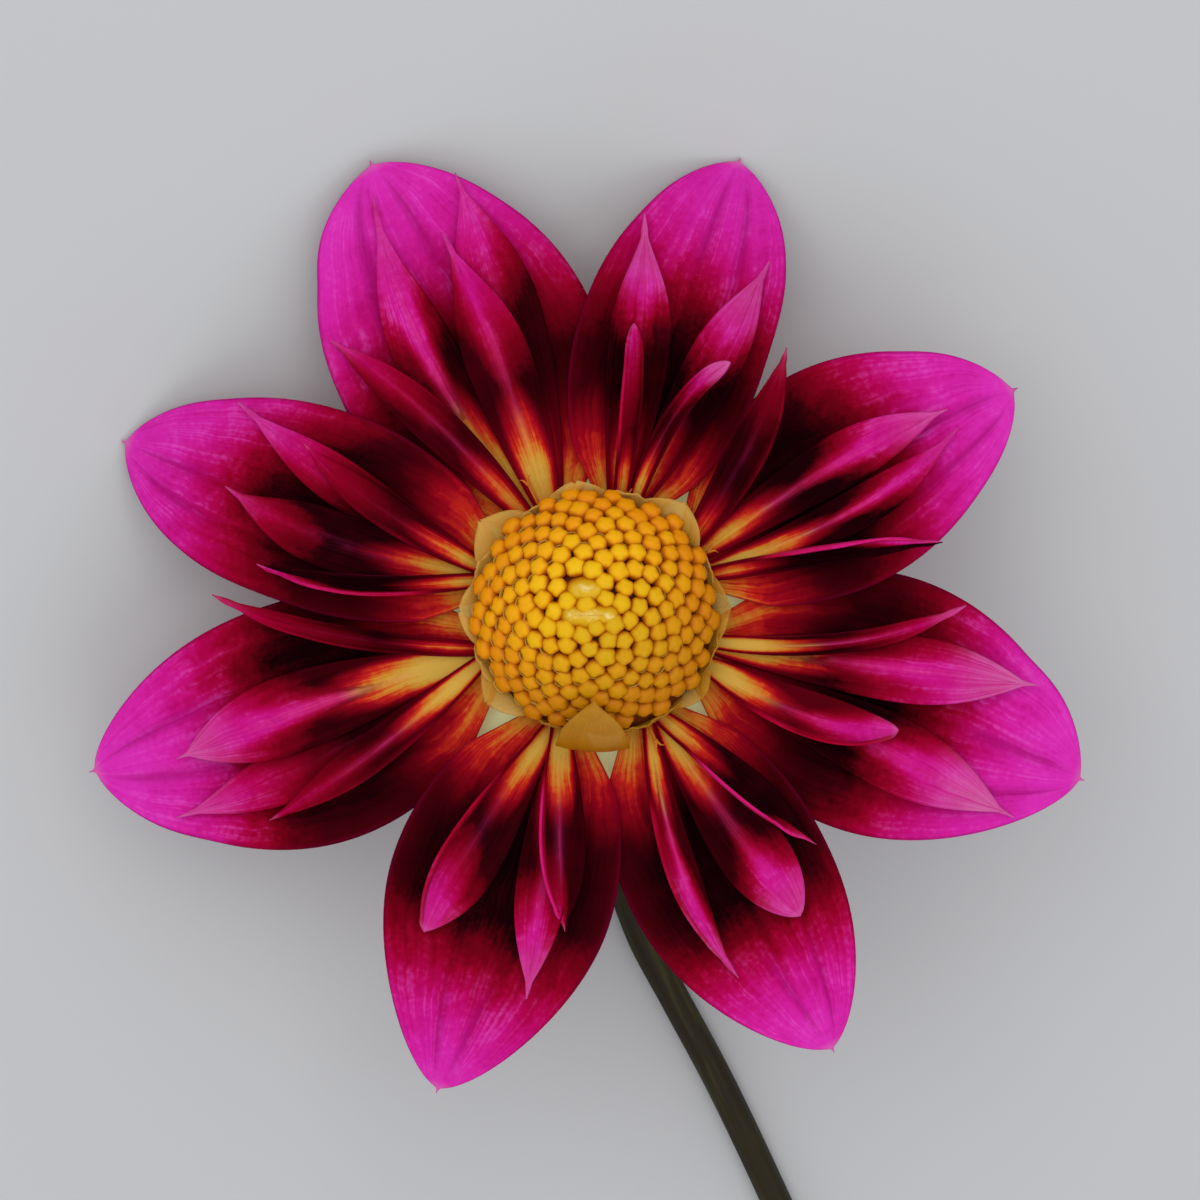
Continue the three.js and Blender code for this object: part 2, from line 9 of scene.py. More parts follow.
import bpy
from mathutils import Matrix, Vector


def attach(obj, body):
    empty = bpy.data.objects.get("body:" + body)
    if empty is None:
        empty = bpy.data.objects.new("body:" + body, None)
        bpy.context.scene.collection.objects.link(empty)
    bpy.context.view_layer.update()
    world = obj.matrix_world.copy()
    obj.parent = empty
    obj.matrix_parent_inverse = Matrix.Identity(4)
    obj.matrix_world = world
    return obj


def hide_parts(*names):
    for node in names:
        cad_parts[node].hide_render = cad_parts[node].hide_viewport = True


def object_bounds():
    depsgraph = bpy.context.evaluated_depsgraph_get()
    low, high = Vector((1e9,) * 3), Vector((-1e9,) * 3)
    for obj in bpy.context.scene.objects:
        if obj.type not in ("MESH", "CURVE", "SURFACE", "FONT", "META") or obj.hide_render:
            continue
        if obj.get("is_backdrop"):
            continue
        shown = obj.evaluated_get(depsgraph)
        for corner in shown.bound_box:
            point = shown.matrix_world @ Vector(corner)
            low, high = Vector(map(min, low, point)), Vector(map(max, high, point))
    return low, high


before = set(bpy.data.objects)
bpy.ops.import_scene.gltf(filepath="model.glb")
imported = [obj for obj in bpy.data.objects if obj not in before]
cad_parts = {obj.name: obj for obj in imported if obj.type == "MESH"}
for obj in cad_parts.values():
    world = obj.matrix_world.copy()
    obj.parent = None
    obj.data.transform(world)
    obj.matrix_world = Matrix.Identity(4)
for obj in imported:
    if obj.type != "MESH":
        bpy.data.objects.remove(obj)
cad_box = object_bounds()
print("nodes:", len(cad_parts), "box:", [tuple(round(x, 4) for x in corner) for corner in cad_box])

# %% [markdown]
# ## The bloom has a frame of its own
#
# A flower is easiest to think about face on: its axis is +Z, the rays leave it at z = 0, and
# x and y are what an eye in front of it sees. All shapes below are written in that frame, in
# millimetres, and one matrix tilts, spins and carries them to where the bloom rests. Moving
# the points, and not the objects, leaves every object at the origin of the row.

# %% Place of the bloom
import math

import bpy
import numpy as np
from mathutils import Matrix, Vector

MM = 0.001
HEAD = Vector((2.4, 33.6, 19.65))
HEAD_TILT = math.radians(20)
HEAD_SPIN = math.radians(-24.4)
turn = Matrix.Rotation(-HEAD_TILT, 3, "X") @ Matrix.Rotation(HEAD_SPIN, 3, "Z")
TURN = np.array(turn)


def on_bloom(points):
    """Points of the bloom's frame, in millimetres, as metres in the row's frame."""
    return (np.asarray(points) @ TURN.T + np.array(HEAD)) * MM


print("the bloom's axis points to", [round(x, 3) for x in TURN[:, 2]])

# %% [markdown]
# ## A few curves that nature likes
#
# `ease` goes softly from 0 to 1, and `hill` is a bell of a given width. `circle` gives angles
# all the way round, and `polar` a place in the plane. `ripple` is a smooth irregular wave:
# three sines whose phases are drawn from a seed, so that no two margins are alike and every
# run is the same. `path_through` is a centripetal Catmull-Rom curve, which follows bends
# without overshooting.

# %% Curves
def ease(low, high, x):
    share = np.clip((x - low) / (high - low), 0, 1)
    return share * share * (3 - 2 * share)


def hill(x, width):
    return np.exp(-((x / width) ** 2))


def circle(count):
    return np.linspace(0, 2 * math.pi, count, endpoint=False)


def polar(radius, degrees):
    return np.array([radius * math.cos(math.radians(degrees)), radius * math.sin(math.radians(degrees))])


def ripple(x, seed, waves):
    phases = np.random.default_rng(seed).uniform(0, 2 * math.pi, 3)
    sines = enumerate(zip(waves * np.array([1.0, 1.7, 2.9]), phases))
    return sum(np.sin(speed * x * math.pi + phase) / (k + 1.5) for k, (speed, phase) in sines)


def path_through(places, count):
    """count points, evenly spaced, on a centripetal Catmull-Rom curve through places."""
    p = np.asarray(places, float)
    p = np.vstack([2 * p[0] - p[1], p, 2 * p[-1] - p[-2]])
    fine = []
    for a, b, c, d in zip(p[:-3], p[1:-2], p[2:-1], p[3:]):
        ab, bc, cd = (math.sqrt(np.linalg.norm(q - r)) for q, r in ((b, a), (c, b), (d, c)))
        m1 = ((b - a) / ab - (c - a) / (ab + bc) + (c - b) / bc) * bc
        m2 = ((c - b) / bc - (d - b) / (bc + cd) + (d - c) / cd) * bc
        s = np.linspace(0, 1, 40, endpoint=False)[:, None]
        fine.append(
            (2 * s**3 - 3 * s**2 + 1) * b + (s**3 - 2 * s**2 + s) * m1
            + (3 * s**2 - 2 * s**3) * c + (s**3 - s**2) * m2
        )
    fine = np.vstack([*fine, p[-2:-1]])
    run = np.concatenate([[0], np.cumsum(np.linalg.norm(np.diff(fine, axis=0), axis=1))])
    even = np.linspace(0, run[-1], count)
    return np.stack([np.interp(even, run, fine[:, k]) for k in range(fine.shape[1])], 1)


print("ease(0, 1, 0.25) =", float(ease(0, 1, 0.25)))

# %% [markdown]
# ## Camera
#
# The photograph looks straight at the face of the bloom. The flower lies down here, so the
# camera stands over it on the bloom's own axis. A long lens far away keeps the petals' sizes
# true. The picture's centre is a few pixels off the centre of the disc, and the camera moves
# by that much, so that no lens shift is needed.

# %% Camera
PICTURE = 1200
PIXEL = 0.095
DISC_PIXEL = (597, 617)
CAMERA_AWAY = 1200
SENSOR = 36

aim = ((PICTURE / 2 - DISC_PIXEL[0]) * PIXEL, (DISC_PIXEL[1] - PICTURE / 2) * PIXEL, CAMERA_AWAY)
lens = bpy.data.cameras.new("camera")
lens.sensor_width = SENSOR
lens.lens = SENSOR * CAMERA_AWAY / (PICTURE * PIXEL)
lens.clip_end = 20
camera = bpy.data.objects.new("camera", lens)
camera.matrix_world = Matrix.Translation(Vector(on_bloom(aim))) @ turn.to_4x4()
bpy.context.collection.objects.link(camera)
bpy.context.scene.camera = camera
print("lens:", round(lens.lens), "mm, camera at", [round(x, 3) for x in camera.location])

# %% [markdown]
# ## Light
#
# The petals are lit by an even, cloudy sky. A pale world does most of that; a large soft
# panel beyond the head gives the petals their modelling, and a weaker one from the other side
# opens the shadows. Both are big, so no shadow has a hard edge. Plain colours are what we
# want to see, so the picture is shown without a film-like tone curve.

# %% Light
SKY_COLOUR = (0.93, 0.95, 1.0, 1)
SKY_STRENGTH = 0.66


def panel(name, azimuth, elevation, away, size, power, colour):
    """A square soft light that looks at the bloom, azimuth clockwise from +Y."""
    lamp = bpy.data.lights.new(name, "AREA")
    lamp.size, lamp.energy, lamp.color = size, power, colour
    light = bpy.data.objects.new(name, lamp)
    a, e = math.radians(azimuth), math.radians(elevation)
    back = Vector((math.sin(a) * math.cos(e), math.cos(a) * math.cos(e), math.sin(e)))
    light.location = HEAD * MM + back * away
    light.rotation_euler = back.to_track_quat("Z", "Y").to_euler()
    bpy.context.collection.objects.link(light)


panel("sky_panel", azimuth=0, elevation=58, away=1.0, size=0.9, power=4.3, colour=(1.0, 0.99, 0.97))
panel("fill_panel", azimuth=170, elevation=60, away=1.2, size=1.0, power=2.4, colour=(0.95, 0.97, 1.0))

scene = bpy.context.scene
scene.view_settings.view_transform = "Standard"
world = bpy.data.worlds.new("cloudy_sky")
world.use_nodes = True
world.node_tree.nodes["Background"].inputs["Color"].default_value = SKY_COLOUR
world.node_tree.nodes["Background"].inputs["Strength"].default_value = SKY_STRENGTH
scene.world = world
print("lights:", [lamp.name for lamp in bpy.data.lights])

# %% [markdown]
# ## Shader maths that reads like Python
#
# Petals get their colour from how far along and how far across them a point lies. Written
# with node calls, such sums are hard to read. This small class wraps one socket, so that
# `1 - mask * 0.5` adds the two Math nodes itself. Colours go through Mix, and any other node
# comes from `node`.

# %% The shader helper
class Dye:
    def __init__(self, tree, socket=None):
        self.tree = tree
        self.socket = socket

    def node(self, kind, settings=None, out=0, **sockets):
        """Adds a node. settings are its properties or a ramp's stops; sockets are i0=, i1= and so on."""
        made = self.tree.nodes.new("ShaderNode" + kind)
        for name, value in (settings or {}).items():
            if name == "stops":
                ramp = made.color_ramp
                while len(ramp.elements) < len(value):
                    ramp.elements.new(1)
                for stop, (place, colour) in zip(ramp.elements, value):
                    stop.position, stop.color = place, colour
            else:
                setattr(made, name, value)
        for name, value in sockets.items():
            entry = made.inputs[int(name[1:])]
            if isinstance(value, Dye):
                self.tree.links.new(value.socket, entry)
            else:
                entry.default_value = value
        return Dye(self.tree, made.outputs[out])

    def maths(self, operation, *values):
        return self.node("Math", {"operation": operation}, **{f"i{k}": v for k, v in enumerate(values)})

    def __add__(self, other):
        return self.maths("ADD", self, other)

    __radd__ = __add__

    def __mul__(self, other):
        return self.maths("MULTIPLY", self, other)

    __rmul__ = __mul__

    def __sub__(self, other):
        return self.maths("SUBTRACT", self, other)

    def __rsub__(self, other):
        return self.maths("SUBTRACT", other, self)

    def __pow__(self, power):
        return self.maths("POWER", self, power)

    def __abs__(self):
        return self.maths("ABSOLUTE", self)

    def marks(self, names):
        """Numbers that the mesh carries at its points, one for each name."""
        return [self.node("Attribute", {"attribute_name": name}, out=2) for name in names.split()]

    def here(self):
        """The point's own place in the object, in metres."""
        return self.node("TexCoord", out=3)

    def place(self, x, y, z):
        return self.node("CombineXYZ", i0=x, i1=y, i2=z)

    def grain(self, vector, scale=1.0, detail=2.0):
        """Soft noise from about -0.5 to 0.5 at a place."""
        return self.node("TexNoise", i0=vector, i2=scale, i3=detail) - 0.5

    def band(self, low, high):
        """0 below low, 1 above high, and a soft step between them."""
        return self.node("MapRange", {"interpolation_type": "SMOOTHSTEP"}, i0=self, i1=low, i2=high)

    def ramp(self, stops):
        return self.node("ValToRGB", {"stops": stops}, i0=self)

    def mix(self, first, second):
        """first where this mask is 0, second where it is 1; colours."""
        return self.node("Mix", {"data_type": "RGBA"}, out=2, i0=self, i6=first, i7=second)

    def bump(self, strength, height):
        """The normals of a surface on which this value stands out by height, in metres."""
        return self.node("Bump", i0=strength, i1=height, i3=self)


print("a Dye knows", [name for name in vars(Dye) if not name.startswith("_")])

# %% [markdown]
# Colours are written as they look on screen. `finish` makes a material and sets the constants
# of its shader, and `feed` plugs in whatever varies. Most thin parts of a plant have fibres
# that run along them, so `fibrous` also brings those: noise that is stretched along the blade.

# %% Colours and finishes
def rgb(red, glowing_green, blue):
    """A colour as it is on screen, 0 to 255, as Blender's linear numbers."""
    shares = (c / 255 for c in (red, glowing_green, blue))
    return (*((c / 12.92 if c <= 0.04045 else ((c + 0.055) / 1.055) ** 2.4) for c in shares), 1)


def finish(name, **settings):
    """A new material with constants on its shader, its helper and its shader."""
    made = bpy.data.materials.new(name)
    made.use_nodes = True
    shader = made.node_tree.nodes["Principled BSDF"]
    for socket, value in settings.items():
        shader.inputs[socket.replace("_", " ")].default_value = value
    return made, Dye(made.node_tree), shader


def feed(dye, shader, **sockets):
    for name, value in sockets.items():
        dye.tree.links.new(value.socket, shader.inputs[name.replace("_", " ")])


def fibrous(name, lines, stretch, shift, **settings):
    """What finish gives, then the marks along and across, and the fibres."""
    made, dye, shader = finish(name, **settings)
    along, across, own = dye.marks("along across own")
    fibre = dye.grain(dye.place(across * lines, along * stretch, own * shift), detail=3.0)
    return made, dye, shader, along, across, fibre


print("magenta on screen is", [round(c, 3) for c in rgb(223, 49, 184)])

# %% [markdown]
# ## The floor
#
# The flower lies on a plain, pale board that is much wider than the picture. The board sits a
# twentieth of a millimetre low, so that it shares no plane with the petals that rest on it.

# %% Floor
FLOOR_HALF = 3.0
FLOOR_Z = -0.00005

floor_mesh = bpy.data.meshes.new("floor")
corners = [(x * FLOOR_HALF, y * FLOOR_HALF, FLOOR_Z) for x, y in ((-1, -1), (1, -1), (1, 1), (-1, 1))]
floor_mesh.from_pydata(corners, [], [(0, 1, 2, 3)])
floor = bpy.data.objects.new("floor", floor_mesh)
bpy.context.collection.objects.link(floor)
floor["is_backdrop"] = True

floor_finish, dye, shader = finish("pale_floor", Roughness=0.9)
cloud = dye.grain(dye.here(), scale=9.0)
feed(dye, shader, Base_Color=(cloud * 0.4 + 0.5).mix(rgb(190, 191, 192), rgb(195, 195, 195)))
floor_mesh.materials.append(floor_finish)
print("floor:", 2 * FLOOR_HALF, "m wide")

# %% [markdown]
# ## From points to pieces
#
# A petal is a thin blade: one grid of points, pushed apart along its normals into an upper
# and a lower skin, and closed round its edge. That gives a true solid with a real margin,
# where a single sheet of faces would have no thickness when seen from the side. Everything
# round, such as florets and stem, is a row of rings. Both carry marks: named numbers at their
# points, from which the finishes draw their colours.

# %% Blades and rings
def blade(surface, rows, columns, thick, **marks):
    """A closed blade. surface is a function of t, root to tip, and u, across. thick and each
    mark are such functions too, or plain numbers. The rows lie closer near both ends."""
    s = np.linspace(0, 1, rows + 1)
    spaced = s / 2 + (1 - np.cos(math.pi * s)) / 4
    t, u = np.meshgrid(spaced, np.linspace(-1, 1, columns + 1), indexing="ij")

    def sampled(value):
        return (value(t, u) if callable(value) else value) + 0 * t

    middle = surface(t, u)
    up = np.cross(np.gradient(middle, axis=0), np.gradient(middle, axis=1))
    up *= (sampled(thick) / 2 / np.linalg.norm(up, axis=-1))[..., None]
    points = np.concatenate([(middle + up).reshape(-1, 3), (middle - up).reshape(-1, 3)])
    count = t.size
    at = np.arange(count).reshape(t.shape)
    upper = np.stack([at[:-1, :-1], at[1:, :-1], at[1:, 1:], at[:-1, 1:]], -1).reshape(-1, 4)
    loop = np.concatenate([at[:-1, 0], at[-1, :-1], at[:0:-1, -1], at[0, :0:-1]])
    after = np.roll(loop, -1)
    rim = np.stack([after, loop, loop + count, after + count], -1)
    faces = np.vstack([upper, upper[:, ::-1] + count, rim]).tolist()
    marks = {"along": t, "across": u, **marks}
    values = {name: np.tile(sampled(mark).ravel(), 2) for name, mark in marks.items()}
    values["upper"] = np.concatenate([np.ones(count), ease(0.5, 0.95, abs(u)).ravel()])
    return points, faces, values


def rings(loops, **marks):
    """A closed tube through loops of points, with flat ends. marks are one number for each loop."""
    loops = np.asarray(loops)
    stations, sides = loops.shape[:2]
    at = np.arange(stations * sides).reshape(stations, sides)
    ahead = np.roll(at, -1, axis=1)
    faces = np.stack([at[:-1], ahead[:-1], ahead[1:], at[1:]], -1).reshape(-1, 4).tolist()
    faces += [at[0, ::-1].tolist(), at[-1].tolist()]
    values = {name: np.repeat(np.broadcast_to(mark, stations), sides) for name, mark in marks.items()}
    return loops.reshape(-1, 3), faces, values


cube = rings([[(1, 0, z), (0, 1, z), (-1, 0, z), (0, -1, z)] for z in (0, 1)])
print("four sides and two ends make", len(cube[1]), "faces")

# %% [markdown]
# `piece` joins such parts into one mesh, and hangs it on the body and the node that it stands
# for. A part without some mark gets zeros for it.

# %% Pieces
def piece(name, parts, node, material, place=on_bloom):
    """Joins parts into one object that stands for a node."""
    points, faces, start = [], [], 0
    for part_points, part_faces, _ in parts:
        points.append(part_points)
        faces += [[corner + start for corner in face] for face in part_faces]
        start += len(part_points)
    mesh = bpy.data.meshes.new(name)
    mesh.from_pydata(place(np.vstack(points)), [], faces)
    for mark in sorted({mark for part in parts for mark in part[2]}):
        values = [part[2].get(mark, np.zeros(len(part[0]))) for part in parts]
        mesh.attributes.new(mark, "FLOAT", "POINT").data.foreach_set("value", np.concatenate(values))
    mesh.shade_smooth()
    mesh.materials.append(material)
    made = bpy.data.objects.new(name, mesh)
    bpy.context.collection.objects.link(made)
    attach(made, "root")
    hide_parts(node)
    print(name, len(faces), "faces")


print("pieces are to stand for", len(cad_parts), "nodes")

# %% [markdown]
# ## Petal pigment
#
# A ray floret is gold at its claw, burns through red into a maroon that is almost black, and
# opens into magenta. The borders between these run in streaks along the veins. Each blade
# carries two numbers that say how far a point lies past its gold and past its dark part, so
# one finish serves all of them. The streaks come from noise that is stretched along the
# veins: it varies quickly with `across` and slowly with `along`, and because `across` is a
# share of the width, the streaks close up at claw and tip as real veins do.

# %% Petal finish, from gold to magenta
GOLDEN_CLAW = [
    (0.00, rgb(214, 172, 74)), (0.16, rgb(210, 150, 54)), (0.29, rgb(208, 110, 38)),
    (0.40, rgb(198, 40, 28)), (0.56, rgb(156, 8, 28)), (0.84, rgb(112, 2, 22)),
]
NEARLY_BLACK = rgb(26, 1, 5)
MAGENTA_TIP = [
    (0.00, rgb(112, 2, 22)), (0.14, rgb(150, 3, 40)), (0.27, rgb(176, 6, 76)), (0.42, rgb(196, 18, 120)),
    (0.64, rgb(209, 32, 153)), (1.00, rgb(214, 44, 172)),
]
petal_finish, dye, shader = finish("petal", Specular_IOR_Level=0.005)
along, across, own, gold, past, ragged = dye.marks("along across own gold past ragged")
depth, pale, upper, stripe, hem, groove = dye.marks("depth pale upper stripe hem groove")
here = dye.here()
mottle = dye.grain(here, scale=1900.0, detail=2.0)
patch = dye.grain(here, scale=330.0, detail=3.0)
streak = dye.grain(dye.place(across * 7 + patch * 1.6, along * 1.3 + patch * 0.5, own * 31), detail=4.0)
vein = dye.grain(dye.place(across * 30 + patch * 3.0, along * 2.0 + patch * 0.5, own * 17), detail=2.0)

claw = (gold * 2.6 + streak * 0.42 + vein * 0.32 + patch * 0.3 + mottle * 0.15 + 0.3).ramp(GOLDEN_CLAW)
past = past + streak * 1.2 + patch * 0.9 + mottle * 0.6 + vein * 0.3
flush = past * ragged
dark = (gold + streak * 0.1 + patch * 0.06).band(0.05, 0.25) * (1 - past.band(-1.1, 0.5))
dark = dark * (depth - vein * 0.3 - patch * 0.3) * (1 - abs(across) ** 4 * 0.35) * along.band(0.10, 0.32)
colour = dark.mix(claw, NEARLY_BLACK)
colour = flush.band(-0.4, 0.1).mix(colour, (flush * 0.4).ramp(MAGENTA_TIP))
print("marks, noise and three pigments take", len(dye.tree.nodes), "nodes")

# %% [markdown]
# Over the three pigments lie the small things. Some petaloids have a red or pink hem, some a
# light line along the middle, gold near the claw and pink further out. The magenta shows the
# net of its cells, darker creases and a bleached point. A thin dark line edges each blade,
# and its underside is plainer and paler.

# %% Petal finish, the small things
edge = hem * (0.8 + streak * 1.6 + patch)
crest = edge.ramp([(0.0, rgb(118, 2, 24)), (0.45, rgb(168, 8, 44)), (0.9, rgb(208, 28, 112))])
colour = edge.band(0.0, 0.4).mix(colour, gold.band(0.0, 0.10).mix(rgb(196, 60, 40), crest))
line = gold.band(0.02, 0.12).mix(rgb(222, 160, 88), rgb(206, 52, 118))
colour = (stripe * (0.45 + streak * 1.8 + vein * 1.2 + patch)).mix(colour, line)
cells = patch * 0.7 + vein * 0.9 + mottle * 0.5
opened = flush.band(0.1, 1.2)
colour = (cells.band(0.0, 0.4) * opened * 0.32).mix(colour, rgb(238, 96, 206))
colour = ((0 - cells).band(0.0, 0.4) * opened * 0.4).mix(colour, rgb(164, 4, 100))
colour = (groove * opened * 0.55).mix(colour, rgb(150, 6, 92))
colour = (pale * flush.band(-0.2, 0.5) * (0.8 + vein * 2.4 + patch)).mix(colour, rgb(208, 104, 162))
colour = (abs(across).band(0.95, 1.0) * 0.4).mix(colour, rgb(110, 2, 44))
underside = along.band(0.1, 0.35).mix(rgb(190, 160, 80), rgb(184, 30, 84))
colour = ((1 - upper) * 0.75).mix(colour, underside)
relief = (vein + mottle * 0.4).bump(0.3, 0.0001)
feed(dye, shader, Base_Color=colour, Roughness=0.6 + vein * 0.2, Normal=relief)
print("the whole petal finish takes", len(dye.tree.nodes), "nodes")

# %% [markdown]
# ## The rays and their petaloids, by numbers
#
# These are the driving sizes of the eight rays, the same as in the packed model: azimuth of
# the root, place of the tip, half widths on the counter-clockwise and the clockwise side, and
# how far the middle and the margins rise. Each petaloid has the place of its tip, half
# widths, bow, height over the ray halfway and at the tip, fold of each half in degrees, and
# widest place.

# %% Table of rays
from collections import namedtuple

Ray = namedtuple("Ray", "azimuth tip half lift cup petaloids")
Petaloid = namedtuple("Petaloid", "tip half bow over fold widest")
RAYS = [
    Ray(118, (-21.6, 43.4, -2.2), (12.5, 12.9), 1, 0.4, [
        Petaloid((-25.4, 26.3), (2.3, 2.3), 0, (2.2, 1), (25, 30), 1.1),
        Petaloid((-21.3, 40.1), (3.2, 3.2), 2.6, (1.6, 0.9), (10, 20), 1.1),
        Petaloid((-14.7, 36.5), (3.3, 3.3), -1, (2.8, 1.6), (20, 15), 1.1),
        Petaloid((-13.5, 42.2), (4, 3.6), -1.4, (1.2, 0.8), (0, 5), 1.3),
    ]),
    Ray(76, (13.6, 43.6, -8.2), (9.8, 8.3), 3.4, 1.3, [
        Petaloid((4.5, 38.3), (3.1, 3.1), -0.2, (2, 1.2), (18, 18), 1.2),
        Petaloid((3.5, 27.8), (1.6, 1.6), 0, (4, 3), (50, 50), 1.1),
        Petaloid((16.4, 33.8), (2.9, 2.8), -0.7, (1.8, 1), (20, 25), 1.3),
        Petaloid((12.6, 24.1), (1.6, 1.6), 1, (3.8, 3.6), (60, 55), 1.3),
    ]),
    Ray(28, (40, 21.8, -3), (11.4, 9.9), 2.2, 0.8, [
        Petaloid((17.9, 25.4), (2.4, 2.4), 0.1, (3, 4.5), (35, 35), 1.1),
        Petaloid((33.3, 19.7), (2.7, 2.7), 1.2, (2.2, 1.2), (10, 20), 1.3),
        Petaloid((34.3, 18), (2.1, 2.1), -2.4, (3, 1.6), (25, 20), 1.3),
        Petaloid((32.7, 7.1), (2, 1.2), -0.5, (2.6, 2.4), (70, 60), 1),
    ]),
    Ray(-18.6, (46.2, -15.5, -5), (13.1, 11.8), 1, 0.4, [
        Petaloid((35, 1.1), (1.8, 1.4), -1.1, (2.8, 2.2), (60, 50), 1),
        Petaloid((41.9, -6.5), (3.4, 3.4), 0.5, (2, 1), (15, 20), 1.4),
        Petaloid((28.6, -10.7), (2.5, 2.9), -2, (3.4, 2.4), (15, 45), 1.2),
        Petaloid((39.7, -19.1), (3.7, 3.6), -0.3, (1.4, 0.7), (10, 15), 1.4),
    ]),
    Ray(-61.4, (22.4, -41.1, -2.5), (8.9, 10.5), 2.15, 0.8, [
        Petaloid((13.4, -34.2), (1.8, 1.9), -2, (2.4, 1.2), (30, 35), 1.2),
        Petaloid((19.3, -28.3), (3.5, 3.5), 0, (1.6, 1.4), (10, 20), 1.6),
        Petaloid((20.8, -21.5), (1.9, 2.4), 0.4, (3.2, 2.2), (5, 60), 1.2),
    ]),
    Ray(-112.9, (-15.1, -44.7, -4), (10.7, 10.8), 3.4, 1.2, [
        Petaloid((-16.4, -29.8), (3.5, 3.9), -0.5, (2.4, 1.2), (10, 50), 1.5),
        Petaloid((-6.7, -36.2), (2.5, 2.5), 0.7, (1.4, 0.9), (10, 10), 1.3),
        Petaloid((-3, -29.8), (2.6, 3.2), 0.3, (2.8, 1.6), (20, 50), 1.2),
    ]),
    Ray(-163.3, (-48.4, -14.8, -6), (13.4, 10.2), 1.2, 0.4, [
        Petaloid((-36.5, 2.1), (1.6, 1.5), 1.1, (2.6, 3), (50, 50), 1),
        Petaloid((-40, -13.5), (3.9, 3.9), -0.4, (2, 1.2), (15, 15), 1.5),
        Petaloid((-40, -19.1), (2.8, 2.8), 1.6, (1.1, 0.8), (5, 5), 1.4),
        Petaloid((-31.1, -19.3), (2.2, 2.2), 1.2, (3, 1.6), (35, 30), 1.2),
    ]),
    Ray(156.4, (-45.1, 16.7, -8.25), (9.2, 9.8), 3.4, 1.2, [
        Petaloid((-34.1, 20.4), (2.3, 2.3), 0.9, (1.5, 0.8), (10, 10), 1.2),
        Petaloid((-27.8, 16.5), (1.8, 1.8), 0.9, (2.8, 1.6), (30, 30), 1.1),
        Petaloid((-35.3, 12.4), (2.9, 2.9), 1.9, (1.8, 1), (15, 15), 1.3),
        Petaloid((-32.2, 5), (1.3, 1.7), 1.9, (3, 2.2), (40, 60), 1.1),
    ]),
]
print("petaloids:", sum(len(ray.petaloids) for ray in RAYS))

# %% [markdown]
# The shoulders of a ray's tip and its pigment are looks, so they are written apart from the
# sizes. `full` makes the margin on either side rounder towards the tip, `shoulder` does so
# close to the point, `cusp` is how far the small point reaches past the blade, and `creases`
# are where two folds run into it, as shares of the half width. `dark` and `pink` say where
# the dark part ends and where full magenta begins, as shares of the length: in the middle, on
# the counter-clockwise margin and on the clockwise one. `depth` is how nearly black it gets.
#
# Each petaloid has one row: how drawn out its tip is (below 1 it is blunt), where its gold
# ends, its dark part ends and its pink begins, the depth of the dark, the strength of a pale
# line along the middle and of a pale tip, and how far the pink leans down on the
# counter-clockwise side. Where it has a hem, the hem's strength on that side and on the other
# follow.

